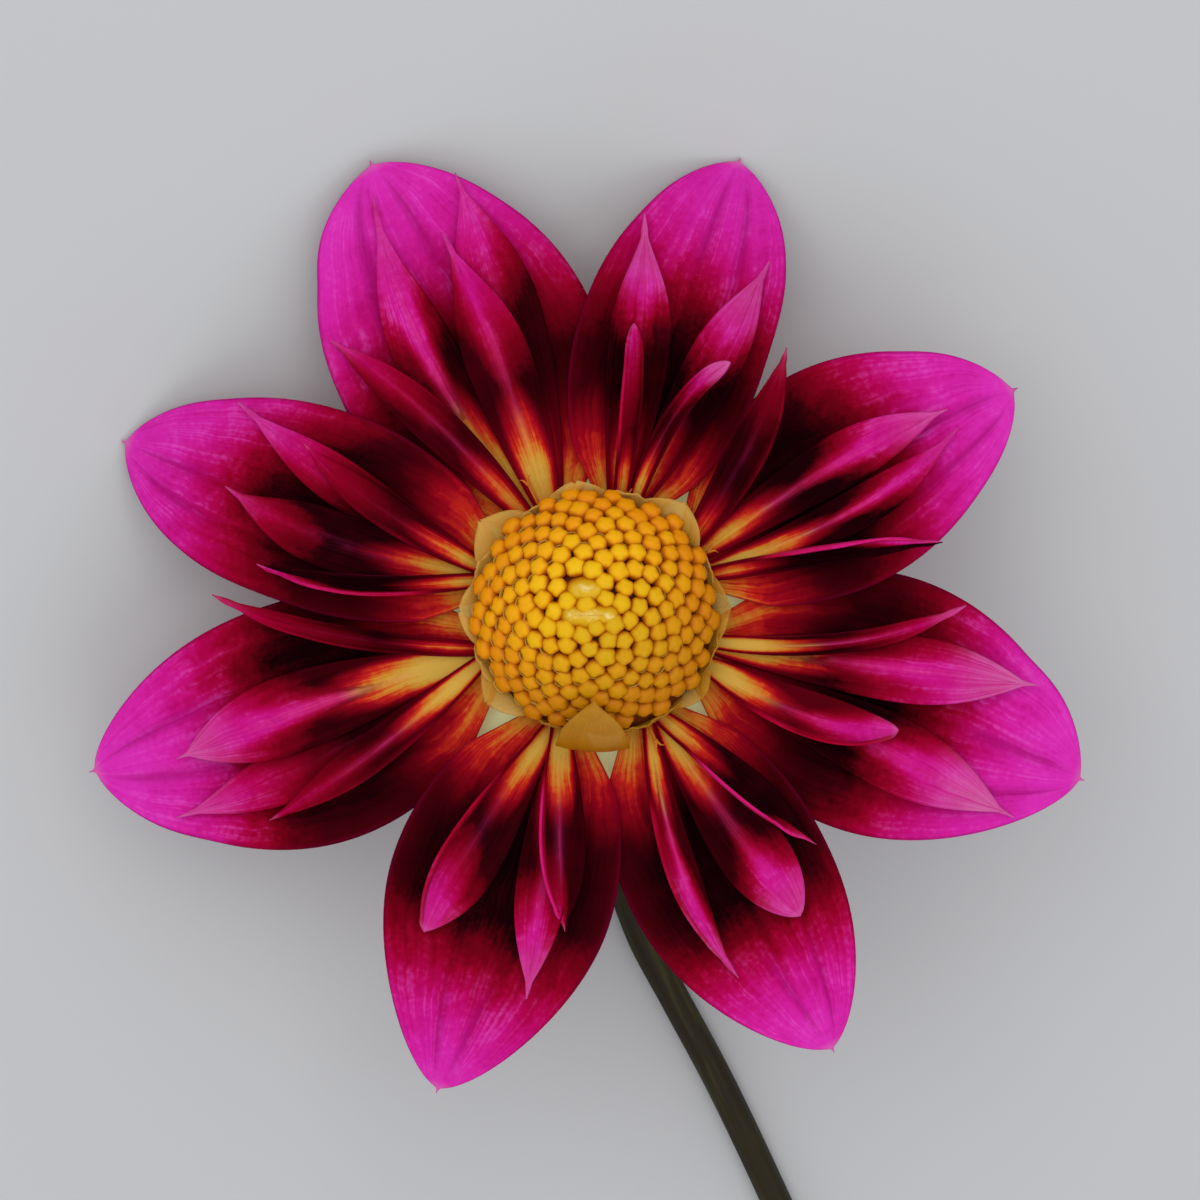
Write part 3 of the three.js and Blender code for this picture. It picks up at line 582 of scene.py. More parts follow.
# %% Table of pigment
Looks = namedtuple("Looks", "full shoulder cusp creases dark pink depth petaloids")
PIGMENT = [
    Looks((1.22, 1.05), (0.4, 0.1), 0.05, (0.45, -0.15), (0.56, 0.4, 0.46), (0.72, 0.58, 0.7), 0.85, [
        (1, 0.26, 0.6, 1, 0.75, 0.55, 0.1, -0.1),
        (1.7, 0.34, 0.55, 0.7, 0.95, 0.9, 0.15, 0.03),
        (1.5, 0.32, 0.58, 0.84, 0.85, 0.7, 0.15, -0.08),
        (1.3, 0.26, 0.6, 0.8, 0.85, 0.2, 0.1, 0.05),
    ]),
    Looks((1.16, 1.54), (0.2, 0.1), 0.32, (0.08, -0.4), (0.6, 0.54, 0.5), (0.74, 0.78, 0.7), 0.97, [
        (1.5, 0.25, 0.58, 0.7, 0.95, 0.1, 0.6, 0),
        (0.7, 0.28, 0.5, 0.95, 0.7, 0, 0, 0.15, 0.6, 0),
        (1.3, 0.25, 0.54, 0.68, 1, 0.1, 0.55, 0.03),
        (0.65, 0.31, 0.64, 0.8, 0.72, 0.35, 0.6, 0.05, 0.1, 0),
    ]),
    Looks((1.06, 1), (0.2, 0.1), 0, (0.1, -0.45), (0.62, 0.53, 0.48), (0.74, 0.72, 0.66), 1, [
        (1.1, 0.2, 0.72, 1.25, 0.9, 0.1, 0.1, 0, 0, 0.2),
        (1, 0.28, 0.58, 0.74, 1, 0.8, 0.4, 0.05),
        (1.3, 0.36, 0.62, 0.82, 1, 1, 0.15, 0.02),
        (1.2, 0.24, 0.78, 0.92, 1, 0, 0.2, 0.4, 1, 0),
    ]),
    Looks((1.02, 0.98), (0.3, 0), 0.3, (0.08, -0.5), (0.62, 0.54, 0.46), (0.74, 0.68, 0.64), 0.95, [
        (1.2, 0.4, 0.6, 1, 0.9, 1.3, 0.3, 0),
        (1, 0.33, 0.5, 0.72, 1, 0.9, 0.8, -0.08),
        (0.65, 0.38, 0.62, 0.85, 0.5, 1, 0.1, -0.12, 0, 0.6),
        (1.1, 0.24, 0.56, 0.72, 1, 0.6, 0.9, -0.03),
    ]),
    Looks((1.16, 1.02), (0, 0), 0.4, (0.4, -0.12), (0.66, 0.64, 0.64), (0.78, 0.82, 0.78), 1, [
        (1.3, 0.32, 0.5, 0.76, 0.8, 1, 0.2, -0.2, 0, 0.5),
        (0.7, 0.36, 0.67, 0.82, 0.9, 0.6, 0.3, 0.03),
        (1.1, 0.32, 0.86, 1.1, 1, 0, 0.1, -0.3, 0, 1),
    ]),
    Looks((0.94, 0.92), (0, 0), 0.7, (0.18, -0.28), (0.66, 0.64, 0.62), (0.8, 0.82, 0.8), 1, [
        (0.8, 0.34, 0.62, 0.84, 0.9, 0.2, 0.1, -0.1, 0, 0.7),
        (1.1, 0.36, 0.58, 0.78, 0.85, 0.5, 0.4, -0.03),
        (0.95, 0.36, 0.8, 1.2, 0.85, 0.5, 0, -0.25, 0, 1),
    ]),
    Looks((1, 1.12), (0.2, 0), 0, (0.3, -0.3), (0.62, 0.64, 0.56), (0.73, 0.76, 0.74), 1, [
        (1.2, 0.22, 0.56, 1.2, 0.9, 0.2, 0.1, 0.1),
        (0.9, 0.4, 0.6, 0.8, 0.85, 1, 0.5, -0.03),
        (1.2, 0.22, 0.56, 0.82, 0.9, 0.1, 0.4, 0),
        (1.1, 0.38, 0.68, 1.2, 0.8, 0.8, 0, 0, 0.2, 0),
    ]),
    Looks((1.46, 1.1), (0.1, 0.2), 0.4, (0.06, 0.5), (0.68, 0.56, 0.46), (0.8, 0.76, 0.68), 0.95, [
        (1.4, 0.26, 0.5, 0.78, 0.75, 0.1, 0.2, -0.05),
        (0.95, 0.32, 0.6, 1.15, 0.8, 0.15, 0, 0, 0.2, 0),
        (1.2, 0.32, 0.7, 1, 0.95, 0.3, 0.1, 0.05),
        (1.2, 0.3, 0.84, 1, 1, 0, 0, 0.35, 0.9, 0),
    ]),
]
print("pigment rows:", sum(len(looks.petaloids) for looks in PIGMENT))

# %% [markdown]
# ## The ray blade
#
# The outline is an oval with a narrow claw. The borders of the pigment cross the blade in
# curves, and two creases run into the tip.

# %% Outline and borders
def outline(t, full, shoulder):
    """Share of the half width at t."""
    left = 1 - t
    rounder = (full - 1) * np.clip(1 - (left / 0.5) ** 2, 0, 1)
    left = left * (1 + rounder + shoulder * np.clip(1 - (left / 0.22) ** 2, 0, 1) ** 2)
    oval = np.sin(math.pi * np.clip(left, 0, 0.995)) ** 0.65
    claw_share = 1 - 0.57 * np.clip(1 - t / 0.2, 0, None) ** 1.2
    return oval * claw_share


def border(u, middle, ccw, cw):
    """A border across a blade, given in its middle and at its two margins."""
    return middle + (np.where(u > 0, ccw, cw) - middle) * abs(u) ** 1.5


def crease(looks, t, u):
    """1 in the bottom of the two folds that run into the tip, 0 elsewhere."""
    return sum(hill(u - place, 0.07) for place in looks.creases) * ease(0.45, 0.8, t)


print("a plain blade is", round(float(outline(0.05, 1, 0)), 2), "of its full width at the claw")

# %% [markdown]
# The surface arches up from the claw and sinks towards the tip, and its margins rise a little
# and wave. Two ribs stand up from it and the creases sink into it, and all level off before
# the cusp. They could be a bump in the finish, but then the blade's edge and the light on it
# would not follow them, so they are part of the surface. The petaloids use its height later.

# %% Ray surface
ROOT_RADIUS = 7.5
CUSP_LENGTH = 0.5
RIB_RISE = 0.2
CREASE_DEPTH = 0.3
WAVE = 0.22


def ray_surface(ray, looks, seed):
    """The ray's middle surface as point(t, u), and its height at a place in the plane."""
    root, tip_place = polar(ROOT_RADIUS, ray.azimuth), np.array(ray.tip[:2])
    length = np.linalg.norm(tip_place - root)
    ahead = (tip_place - root) / length
    side = np.array([-ahead[1], ahead[0]])
    reach = 1 + looks.cusp / length
    body = reach - CUSP_LENGTH / length

    def half(t, u):
        share = np.clip(t / body, 0, 1)
        ccw, cw = (outline(share, *margin) for margin in zip(looks.full, looks.shoulder))
        small_point = 0.05 + 0.4 * (1 - ease(body - 0.01, reach, t)) ** 1.5
        return np.maximum(np.where(u > 0, ccw, cw) * np.where(u > 0, *ray.half), small_point)

    def height(t, u):
        t = np.clip(t, 0, 1)
        bulge = np.sin(math.pi * t)
        return ray.lift * bulge**1.2 + ray.tip[2] * t**2.2 + ray.cup * u * u * bulge

    def point(t, u):
        t = t * reach
        plane = root + ahead * (t * length)[..., None] + side * (u * half(t, u))[..., None]
        grown = ease(0.15, 0.6, t) * (1 - ease(0.84, 0.98, t))
        ribs = hill(abs(u) - 0.34, 0.15) * RIB_RISE - crease(looks, t, u) * CREASE_DEPTH
        waves = ripple(t, seed, 2.2) * u * abs(u) * WAVE
        return np.concatenate([plane, (height(t, u) + (ribs + waves) * grown)[..., None]], -1)

    def height_at(plane):
        run = plane - root
        t = np.clip(run @ ahead / length, 0, 1)
        v = run @ side
        return height(t, np.clip(v / np.maximum(half(t, v), 1), -1.1, 1.1))

    return point, height_at


first_height_at = ray_surface(RAYS[0], PIGMENT[0], 1)[1]
print("ray 1 is", round(float(first_height_at(polar(30, 118))), 2), "mm up, 30 mm from the axis")

# %% [markdown]
# The blade is thinner at its margins. Its marks say where each pigment lies: gold reaches
# furthest up in two tongues, two thirds of the way out to the margins, and the dark part gives
# way to magenta along the curved borders.

# %% Ray blade
def ray_blade(ray, looks, seed):
    return blade(
        ray_surface(ray, looks, seed)[0], rows=90, columns=48,
        thick=lambda t, u: 0.45 - 0.25 * abs(u) ** 6,
        own=seed * 0.137,
        gold=lambda t, u: (t - 0.07 - 0.07 * hill(abs(u) - 0.66, 0.28)) * 0.95,
        past=lambda t, u: (t - border(u, *looks.dark)) * 10,
        ragged=lambda t, u: 0.1 / (border(u, *looks.pink) - border(u, *looks.dark)),
        depth=looks.depth,
        groove=lambda t, u: crease(looks, t, u) * (1 - ease(0.88, 0.99, t)),
        pale=lambda t, u: 0.85 * ease(0.965, 0.99, t),
    )


print("a ray blade has", len(ray_blade(RAYS[0], PIGMENT[0], 1)[0]), "points")

# %% [markdown]
# ## The petaloids
#
# A petaloid is a narrow blade that starts in the mouth of the ray's tube and arches over it.
# Its midline is a quadratic curve, seen face on, and its margins roll up, so it is a channel
# in cross section: each half bends along an arc. It follows the height of its own ray, which
# keeps the two from crossing wherever the ray dips. Its gold runs up in a tongue, the pale
# line draws the pink down into the dark like a flame, and its foot is a little redder: partly
# its own red and partly painted shade, where the petaloids crowd into the tube's mouth.

# %% Petaloid
KNEE_RADIUS = 12
PETALOID_ROOT_RADIUS = 8.4
PETALOID_SPACING = 0.45
PETALOID_ROOT_RISE = 0.2
TIGHTEST_ROLL = 0.8
NO_HEMS = (0, 0)


def channel(u, fold):
    """How far out and up the place u of a rolled half lies, for a half of width 1."""
    fold = np.maximum(fold, 1e-4)
    bend = 2 * fold * abs(u)
    return np.sign(u) * np.sin(bend) / (2 * fold), (1 - np.cos(bend)) / (2 * fold)


def petaloid(ray, height_at, spec, dye_row, order, seed):
    tapering, gold, dark, pink, depth, stripe, pale, lean, *hems = dye_row
    beside = polar(1, ray.azimuth + 90) * (1.5 - order) * PETALOID_SPACING
    root, tip_place = polar(PETALOID_ROOT_RADIUS, ray.azimuth) + beside, np.array(spec.tip)
    side = np.array([root[1] - tip_place[1], tip_place[0] - root[0]])
    side /= np.linalg.norm(side)
    knee = (tip_place - root) / 2 + polar(KNEE_RADIUS, ray.azimuth) + side * 2 * spec.bow
    narrows_at = 0.965 if tapering > 0.85 else 1.0

    def surface(t, u):
        s = t[..., None]
        centre = (1 - s) ** 2 * root + 2 * s * (1 - s) * knee + s * s * tip_place
        heading = (1 - s) * (knee - root) + s * (tip_place - knee)
        heading /= np.linalg.norm(heading, axis=-1, keepdims=True)
        swell = np.clip(t / narrows_at, 0, 1) ** spec.widest
        closing = np.where(swell < 0.5, 0.62, tapering)
        half = np.sin(math.pi * swell) ** closing * np.where(u > 0, *spec.half)
        half = np.maximum(half, 0.06 + 0.24 * (1 - ease(0.93, 1, t)))
        fold = np.minimum(np.radians(np.where(u > 0, *spec.fold)), half / (2 * TIGHTEST_ROLL))
        out, up = channel(u, fold)
        sideways = np.stack([-heading[..., 1], heading[..., 0]], -1)
        plane = centre + sideways * (out * half)[..., None]
        midrib = -0.16 * hill(u, 0.16) * ease(0.1, 0.5, t) * (1 - ease(0.85, 1, t))
        wave = ripple(t, seed + 50, 2.0) * u * abs(u) * 0.12
        over = PETALOID_ROOT_RISE + spec.over[0] * np.sin(math.pi * t) ** 1.5 + spec.over[1] * t * t
        height = height_at(plane) + over + up * half + midrib + wave * np.sin(math.pi * t)
        return np.concatenate([plane, height[..., None]], -1)

    def past_gold(t, u):
        tongue = (t - gold + 0.04 + 0.10 * abs(u) + 0.22 * abs(u) ** 4) * 1.1
        # the redder foot: partly its own red, partly painted shade at the crowded root
        return tongue + 0.17 * (1 - ease(0.05, 0.2, t))

    def past_dark(t, u):
        flame = 0.24 * min(stripe, 1) * hill(u, 0.32)
        return np.minimum(t - dark + lean * u - 0.06 * u * u + flame, 1.2 * (pink - dark)) * 10

    def bleached(t, u):
        last_bit = (0.3 + pale) * ease(0.94, 0.98, t)
        return np.maximum(last_bit, pale * ease(min(pink, 0.85) - 0.05, 0.95, t))

    return blade(
        surface, rows=56, columns=20,
        thick=lambda t, u: 0.4 - 0.22 * abs(u) ** 4,
        along=lambda t, u: t * 0.8,
        across=lambda t, u: u * 0.5,
        own=seed * 0.173,
        gold=past_gold,
        past=past_dark,
        ragged=0.1 / (pink - dark),
        depth=depth,
        pale=bleached,
        stripe=lambda t, u: stripe * hill(u, 0.13) * ease(0.15, 0.3, t) * (1 - ease(0.55, 0.85, t)),
        hem=lambda t, u: np.where(u > 0, *(hems or NO_HEMS)) * ease(0.45, 0.95, abs(u)) * ease(0.2, 0.4, t),
    )


tips = [math.hypot(*spec.tip) for ray in RAYS for spec in ray.petaloids]
print("petaloid tips lie", round(min(tips), 1), "to", round(max(tips), 1), "mm from the axis")

# %% [markdown]
# ## Tubes and styles
#
# The tube at the root is short and hides under the scales of the disc. Blade, tube and
# petaloids grow together there. Where the petaloids stand apart, the floret's forked style
# shows between them: a thread that leans out of the tube's mouth. Both are rings that face
# outwards, so one helper makes them.

# %% Tubes and styles
TUBE_STATIONS = [(-0.3, 0.8), (1.2, 1.0), (2.4, 0.9), (3.8, 0.5)]
TUBE_HALF_WIDTH = 1.0
TUBE_HALF_HEIGHT = 0.85
ALL_CLAW = dict(past=-5.0, ragged=1.0, upper=1.0)
STYLE_TIPS = {1: (15.2, 117.5), 2: (13.0, 76.0), 3: (13.3, 30.5), 5: (14.0, -64.5)}  # radius, azimuth
STYLE_RADIUS = 0.18
FORK_RADIUS = 0.14


def upright_ring(radius, azimuth, z, half_width, half_height, sides):
    turns = circle(sides)
    spread = np.outer(half_width * np.cos(turns), polar(1, azimuth + 90))
    return np.column_stack([polar(radius, azimuth) + spread, z + half_height * np.sin(turns)])


def ray_tube(ray):
    loops = [
        upright_ring(ROOT_RADIUS + out, ray.azimuth, 0, TUBE_HALF_WIDTH * size, TUBE_HALF_HEIGHT * size, 24)
        for out, size in TUBE_STATIONS
    ]
    return rings(loops, gold=-0.3, **ALL_CLAW)


def thread(path, thickness):
    """A tapering round thread along a path of (radius, azimuth, z)."""
    places = path_through(path, 12)
    widths = thickness * np.linspace(1, 0.5, len(places))
    loops = [upright_ring(*place, wide, wide, 10) for place, wide in zip(places, widths)]
    return rings(loops, gold=-0.01, **ALL_CLAW)


def style(radius, azimuth):
    stalk = thread([(9.0, azimuth, 0.6), (11.0, azimuth, 1.6), (radius - 0.9, azimuth, 2.6)], STYLE_RADIUS)
    crotch = (radius - 1.2, azimuth, 2.5)
    forks = [
        [crotch, (radius - 0.5, azimuth + way, 2.9), (radius - 0.3, azimuth + 2.5 * way, 3.0)]
        for way in (-1, 1)
    ]
    return [stalk, *(thread(fork, FORK_RADIUS) for fork in forks)]


print("styles show on rays", sorted(STYLE_TIPS))

# %% [markdown]
# ## Eight ray florets
#
# Each floret is one piece: its blade, its tube, its petaloids and, on four of them, a style.

# %% Eight florets
for number, (ray, looks) in enumerate(zip(RAYS, PIGMENT), 1):
    _, height_at = ray_surface(ray, looks, number)
    parts = [ray_blade(ray, looks, number), ray_tube(ray)]
    parts += style(*STYLE_TIPS[number]) if number in STYLE_TIPS else []
    for k, (spec, dye_row) in enumerate(zip(ray.petaloids, looks.petaloids)):
        parts.append(petaloid(ray, height_at, spec, dye_row, k, number * 10 + k))
    piece(f"ray_{number}", parts, f"ray_floret_{number}", petal_finish)

# %% [markdown]
# ## The disc
#
# The closed florets sit on a dome in the sunflower's spiral: each is turned by the golden
# angle from the one before. The radii are chosen so that every floret has the same share of
# the dome's surface. Outer florets lean out more. The side towards the stem is flattened.

# %% The dome and its spiral
DISC_CENTRE = (-0.2, 0.4, 0.0)
DISC_RADIUS = 10.95
DISC_FLATTENED = 0.95
DISC_RIM_Z = 4.0
DISC_TOP_Z = 9.4
FLORETS = 186
GOLDEN_ANGLE = math.pi * (3 - math.sqrt(5))
MOST_LEAN = math.radians(54)


def dome_height(radius):
    return DISC_RIM_Z + (DISC_TOP_Z - DISC_RIM_Z) * (1 - (radius / DISC_RADIUS) ** 2.4)


radii = np.linspace(0, DISC_RADIUS * 0.999, 400)
slant = np.hypot(np.diff(radii), np.diff(dome_height(radii)))
area = np.concatenate([[0], np.cumsum(slant * (radii[1:] + radii[:-1]))])
floret_radii = np.interp((np.arange(FLORETS) + 0.5) / FLORETS * area[-1], area, radii) * 0.985


def floret_place(index):
    """Foot, axis, sideways and outwards of one floret, and its share of the disc's radius."""
    radius, angle = floret_radii[index], index * GOLDEN_ANGLE
    share = radius / DISC_RADIUS
    lean = share**1.4 * MOST_LEAN
    outward = np.array([math.cos(angle), math.sin(angle), 0])
    axis = outward * math.sin(lean) + np.array([0, 0, math.cos(lean)])
    sideways = np.array([-outward[1], outward[0], 0])
    foot = outward * radius + np.array([0, 0, dome_height(radius)])
    foot[1] *= DISC_FLATTENED if foot[1] < 0 else 1
    foot += DISC_CENTRE
    return foot, axis, sideways, np.cross(sideways, axis), share


print("the outermost floret stands", round(float(floret_radii[-1]), 2), "mm from the axis")

# %% [markdown]
# A floret is a waxy barrel with a rounded, faintly five-lobed head. Its neighbours press on
# it, so its section lies between a circle and a square. Size, height and twist vary a little.
# Away from the light, on the disc's lower right, the gold is painted darker as painted shade.

# %% One closed floret
FLORET_RADIUS = 0.97
FLORET_STANDS = 1.3
FLORET_PROFILE = [  # shares of its height and of its radius
    (-0.80, 0.70), (-0.20, 0.82), (0.20, 0.97), (0.45, 1.0), (0.66, 0.97), (0.82, 0.86),
    (0.93, 0.67), (1.00, 0.42), (1.03, 0.05),
]


# painted shade: 0 at the disc's upper left, 1 at its lower right, away from the light
def away_from_light(x, y):
    return ease(-6, 9, x * 0.5 - y * 0.85)


def disc_floret(index):
    draw = np.random.default_rng(900 + index)
    foot, axis, sideways, forward, share = floret_place(index)
    turns = circle(20)
    size = FLORET_RADIUS * draw.uniform(0.9, 1.08)
    stands = FLORET_STANDS * draw.uniform(0.85, 1.12)
    square = (abs(np.cos(turns)) ** 3 + abs(np.sin(turns)) ** 3) ** (-1 / 3)
    twist = draw.uniform(-0.5, 0.5)
    loops = []
    for up, wide in FLORET_PROFILE:
        spread = size * wide * square * (1 + 0.09 * ease(0.4, 1.0, up) * np.cos(5 * turns + index))
        loops.append(
            foot + axis * up * stands
            + np.outer(np.cos(turns + twist) * spread, sideways)
            - np.outer(np.sin(turns + twist) * spread * 0.92, forward)
        )
    rise = [up for up, _ in FLORET_PROFILE]
    deep = 0.55 * away_from_light(*foot[:2])
    return rings(loops, rise=rise, share=share, own=draw.uniform(0, 1), deep=deep)


print("a closed floret is about", round(2 * FLORET_RADIUS, 1), "mm across")

# %% [markdown]
# In the middle the florets are still grown together in two smooth, wet lumps. Each is a bean
# that bulges where its florets would be; there it is glossier and gets a painted highlight on
# top. Florets whose foot lies in a lump are left out.

# %% Fused lumps
LUMPS = [  # centre, half length of its ridge, half width
    (-1.05, 2.55, 0.85, 1.3), (-0.65, 0.15, 1.65, 1.3),
]
LUMP_STANDS = 1.4
BULGE_SPACING = 1.65


def in_lump(index):
    x, y, _ = floret_place(index)[0]
    for cx, cy, ridge, size in LUMPS:
        past_ridge = x - cx - min(max(x - cx, -ridge), ridge)
        if math.hypot(past_ridge, y - cy) < 0.68 * size:
            return True
    return False


def lump(cx, cy, ridge, size):
    turns = circle(64)
    run = ridge * np.tanh(2 * np.cos(turns))
    bulging = np.cos(2 * math.pi * run / BULGE_SPACING)
    rises = np.sin(np.linspace(-0.64, 1.56, 20))
    loops = []
    for rise in rises:
        uneven = 1 + 0.06 * bulging + 0.04 * np.sin(3 * turns + cy)
        spread = size * math.sqrt(1 - max(rise, 0) ** 2) * uneven
        x, y = cx + run + spread * np.cos(turns), cy + spread * np.sin(turns)
        z = dome_height(np.hypot(x, y)) + rise * (LUMP_STANDS + 0.13 * bulging)
        loops.append(np.stack([x, y, z], 1))
    points, faces, marks = rings(loops, rise=0.5 + 0.5 * rises, share=0.1, own=0.1, deep=0.1)
    # gloss, and the strength of the painted highlight on the lump's top
    marks["wet"] = np.tile(0.6 + 0.4 * bulging, len(loops))
    return points, faces, marks


free_florets = [index for index in range(FLORETS) if not in_lump(index)]
print(FLORETS - len(free_florets), "florets are fused,", len(free_florets), "stand free")

# %% [markdown]
# The skin goes from lemon in the middle to orange at the rim, and every floret differs a
# little. Its sides are painted darker and its foot dark brown: painted shade where the florets
# crowd, which the core between them shares. The tops of the lumps get a painted highlight,
# and the disc's lower right painted shade.

# %% Floret finish
floret_finish, dye, shader = finish("disc_floret", Specular_IOR_Level=0.12, Coat_Roughness=0.1)
rise, share, own, wet, deep = dye.marks("rise share own wet deep")
speck = dye.grain(dye.here(), scale=1400.0, detail=3.0)
skin = (share + own * 0.25 - 0.12 + speck * 0.15).ramp([
    (0.00, rgb(224, 180, 16)), (0.08, rgb(232, 184, 12)), (0.35, rgb(240, 188, 4)),
    (0.65, rgb(242, 171, 0)), (0.95, rgb(236, 146, 0)),
])
# painted shade: a floret's sides darker, and its foot dark brown where the florets crowd
skin = (rise + speck * 0.10).band(0.66, 1.02).mix(rgb(190, 100, 0), skin)
skin = (rise + speck * 0.15).band(-0.2, 0.40).mix(rgb(92, 38, 3), skin)
# painted shade on the disc's lower right, away from the light
skin = (deep + speck * 0.3).mix(skin, rgb(150, 88, 0))
# painted highlight on the tops of the lumps
skin = ((rise + speck * 0.3).band(0.94, 1.06) * wet * 0.75).mix(skin, rgb(250, 222, 160))
feed(dye, shader, Base_Color=skin, Roughness=0.5 + speck * 0.2, Coat_Weight=wet * 0.08,
     Normal=speck.bump(0.25, 0.0001))
print("floret finish has", len(dye.tree.nodes), "nodes")

# %% [markdown]
# Under the florets is a core, turned like a mushroom on a lathe. `turned` makes such forms.

# %% The disc
DISC_FOOT = [(0, -1.85), (4, -1.85), (4.2, -0.9), (6.6, -0.6), (6.6, 1.4), (8.6, 2.4), (10.2, 3.0)]
NEAR_AXIS = 0.02


def turned(profile, sides=64, **marks):
    """A profile of (radius, z) points, from the axis back to the axis, turned round +Z."""
    turns = circle(sides)
    inner = [(max(radius, NEAR_AXIS), z) for radius, z in profile]
    loops = [np.stack([r * np.cos(turns), r * np.sin(turns), np.full(sides, z)], 1) for r, z in inner]
    return rings(loops, **marks)


dome = [(DISC_RADIUS * s, dome_height(DISC_RADIUS * s)) for s in np.linspace(1, 0, 14)]
# the core takes the dark brown of the painted shade between the florets
core = turned([*DISC_FOOT, *dome], rise=-0.6, share=0.5, own=0.5)
parts = [core, *(disc_floret(index) for index in free_florets), *(lump(*spot) for spot in LUMPS)]
piece("disc_florets_fine", parts, "disc_florets", floret_finish)

# %% [markdown]
# ## Scales round the disc
#
# Broad scales wrap the whole disc like a cup, each with its own free edge, and one of them
# folds in over the florets. Each is a blade on the cup: it rises along the cup's profile, and
# its width closes towards the top.

# %% Scales
CUP = [(8.7, 1.75), (10.2, 2.2), (11.1, 3.5)]
SCALES = [  # azimuth, half angle at the foot, radius and height of the top, how pointed
    (118, 17, 12.0, 5.0, 0.5), (75, 15, 12.1, 5.2, 0.5), (27, 15, 11.7, 5.0, 0.5),
    (-16, 15, 11.6, 5.0, 0.5), (-57, 15, 11.2, 4.9, 0.5), (-74, 17, 11.1, 4.9, 0.6),
    (-112, 18, 11.1, 4.9, 0.6), (-159, 16, 12.0, 5.0, 0.6), (157, 14, 12.3, 5.1, 0.7),
    (100, 19, 12.9, 5.2, 0.9), (141, 18, 14.3, 4.7, 1.0), (52, 19, 13.6, 5.3, 1.0),
    (4, 20, 12.6, 5.1, 0.9), (-36, 15, 12.6, 5.0, 1.0), (-142, 18, 13.2, 4.8, 1.0),
    (177, 19, 13.0, 5.0, 0.9),
]
FLAP_PATH = [(12.5, 4.3), (12.6, 6.6), (11.0, 8.6), (7.9, 10.2)]
FLAP_AZIMUTH = -92
SCALE_THICK = 0.16


def scale_blade(azimuth, half_angle, path, pointed, seed):
    line = path_through(path, 40)
    even = np.linspace(0, 1, len(line))

    def surface(t, u):
        radius, z = np.interp(t, even, line[:, 0]), np.interp(t, even, line[:, 1])
        width = 1 - pointed * np.clip((t - 0.45) / 0.55, 0, 1) ** 2.2
        angle = np.radians(azimuth + u * half_angle * np.maximum(width, 0.04))
        radius = radius + 0.12 * ripple(u * 0.6 + t, seed, 2.0) * t
        sag = 0.5 * u * u * ease(0.4, 1, t)
        return np.stack([radius * np.cos(angle), radius * np.sin(angle), z - sag], -1)

    # painted shade for the scales on the disc's lower right
    deep = away_from_light(*polar(CUP[-1][0] - 0.1, azimuth))
    return blade(surface, rows=24, columns=20, thick=SCALE_THICK, own=seed * 0.31, deep=deep)


scale_parts = []
for k, (azimuth, half_angle, radius, z, pointed) in enumerate(SCALES):
    halfway = ((CUP[-1][0] + radius) / 2 + 0.1, (CUP[-1][1] + z) / 2)
    scale_parts.append(scale_blade(azimuth, half_angle, [*CUP, halfway, (radius, z)], pointed, k))
scale_parts.append(scale_blade(FLAP_AZIMUTH, 16, FLAP_PATH, 1.0, 40))
print("scales:", len(scale_parts))

# %% [markdown]
# Behind each outer floret stands a pale, a thin tan membrane that hugs its back. It is half
# hidden, and what shows of it draws the light rims between the rows of florets.

# %% Pales
PALE_THICK = 0.07
PALES_FROM = 0.45


def pale_behind(index):
    """The thin pale that stands behind one outer floret."""
    foot, axis, sideways, forward, _ = floret_place(index)
    draw = np.random.default_rng(300 + index)
    leftward = max(0, -forward[0])
    tall, turn_by = FLORET_STANDS * (draw.uniform(0.5, 0.7) + 0.3 * leftward), draw.uniform(-0.2, 0.2)

    def surface(t, u):
        angle = u * (1.05 - 0.5 * t**3) + turn_by
        out = FLORET_RADIUS * (1.0 + 0.04 * t)[..., None]
        around = sideways * np.sin(angle)[..., None] + forward * np.cos(angle)[..., None]
        return foot + around * out + axis * (t * tall)[..., None]

    return blade(surface, rows=5, columns=8, thick=PALE_THICK, along=lambda t, u: 0.35 + t * 0.4,
                 across=lambda t, u: u * 0.3, own=index * 0.17)


outer_florets = [index for index in free_florets if floret_radii[index] > PALES_FROM * DISC_RADIUS]
scale_parts += [pale_behind(index) for index in outer_florets]
print("pales:", len(outer_florets))

# %% [markdown]
# Both are the same tan skin, drier and lighter towards its edge, where it also lets more of
# what is behind it through. A trace of glow stands in for the light that it passes on. On the
# disc's lower right the tan is painted darker: painted shade, away from the light.

# %% Scale finish
scale_finish, dye, shader, along, _, fibre = fibrous(
    "disc_scale", lines=22, stretch=1.5, shift=9, Specular_IOR_Level=0.2, Emission_Strength=0.06,
)
drying = along + fibre * 0.6
tan = drying.ramp([(0.0, rgb(172, 98, 10)), (0.5, rgb(196, 140, 36)), (0.95, rgb(222, 178, 84))])
# a darker copy of the tan: painted shade for the side away from the light
shaded_tan = drying.ramp([(0.0, rgb(156, 86, 2)), (0.5, rgb(172, 112, 6)), (0.95, rgb(188, 132, 24))])
membrane_shade_and_glow = (dye.marks("deep")[0] * 0.9).mix(tan, shaded_tan)
feed(dye, shader, Base_Color=membrane_shade_and_glow, Emission_Color=membrane_shade_and_glow, Roughness=0.36 + fibre * 0.3,
     Alpha=0.85 - along.band(0.2, 0.9) * 0.35, Normal=fibre.bump(0.15, 0.0001))
piece("disc_scales_fine", scale_parts, "disc_scales", scale_finish)

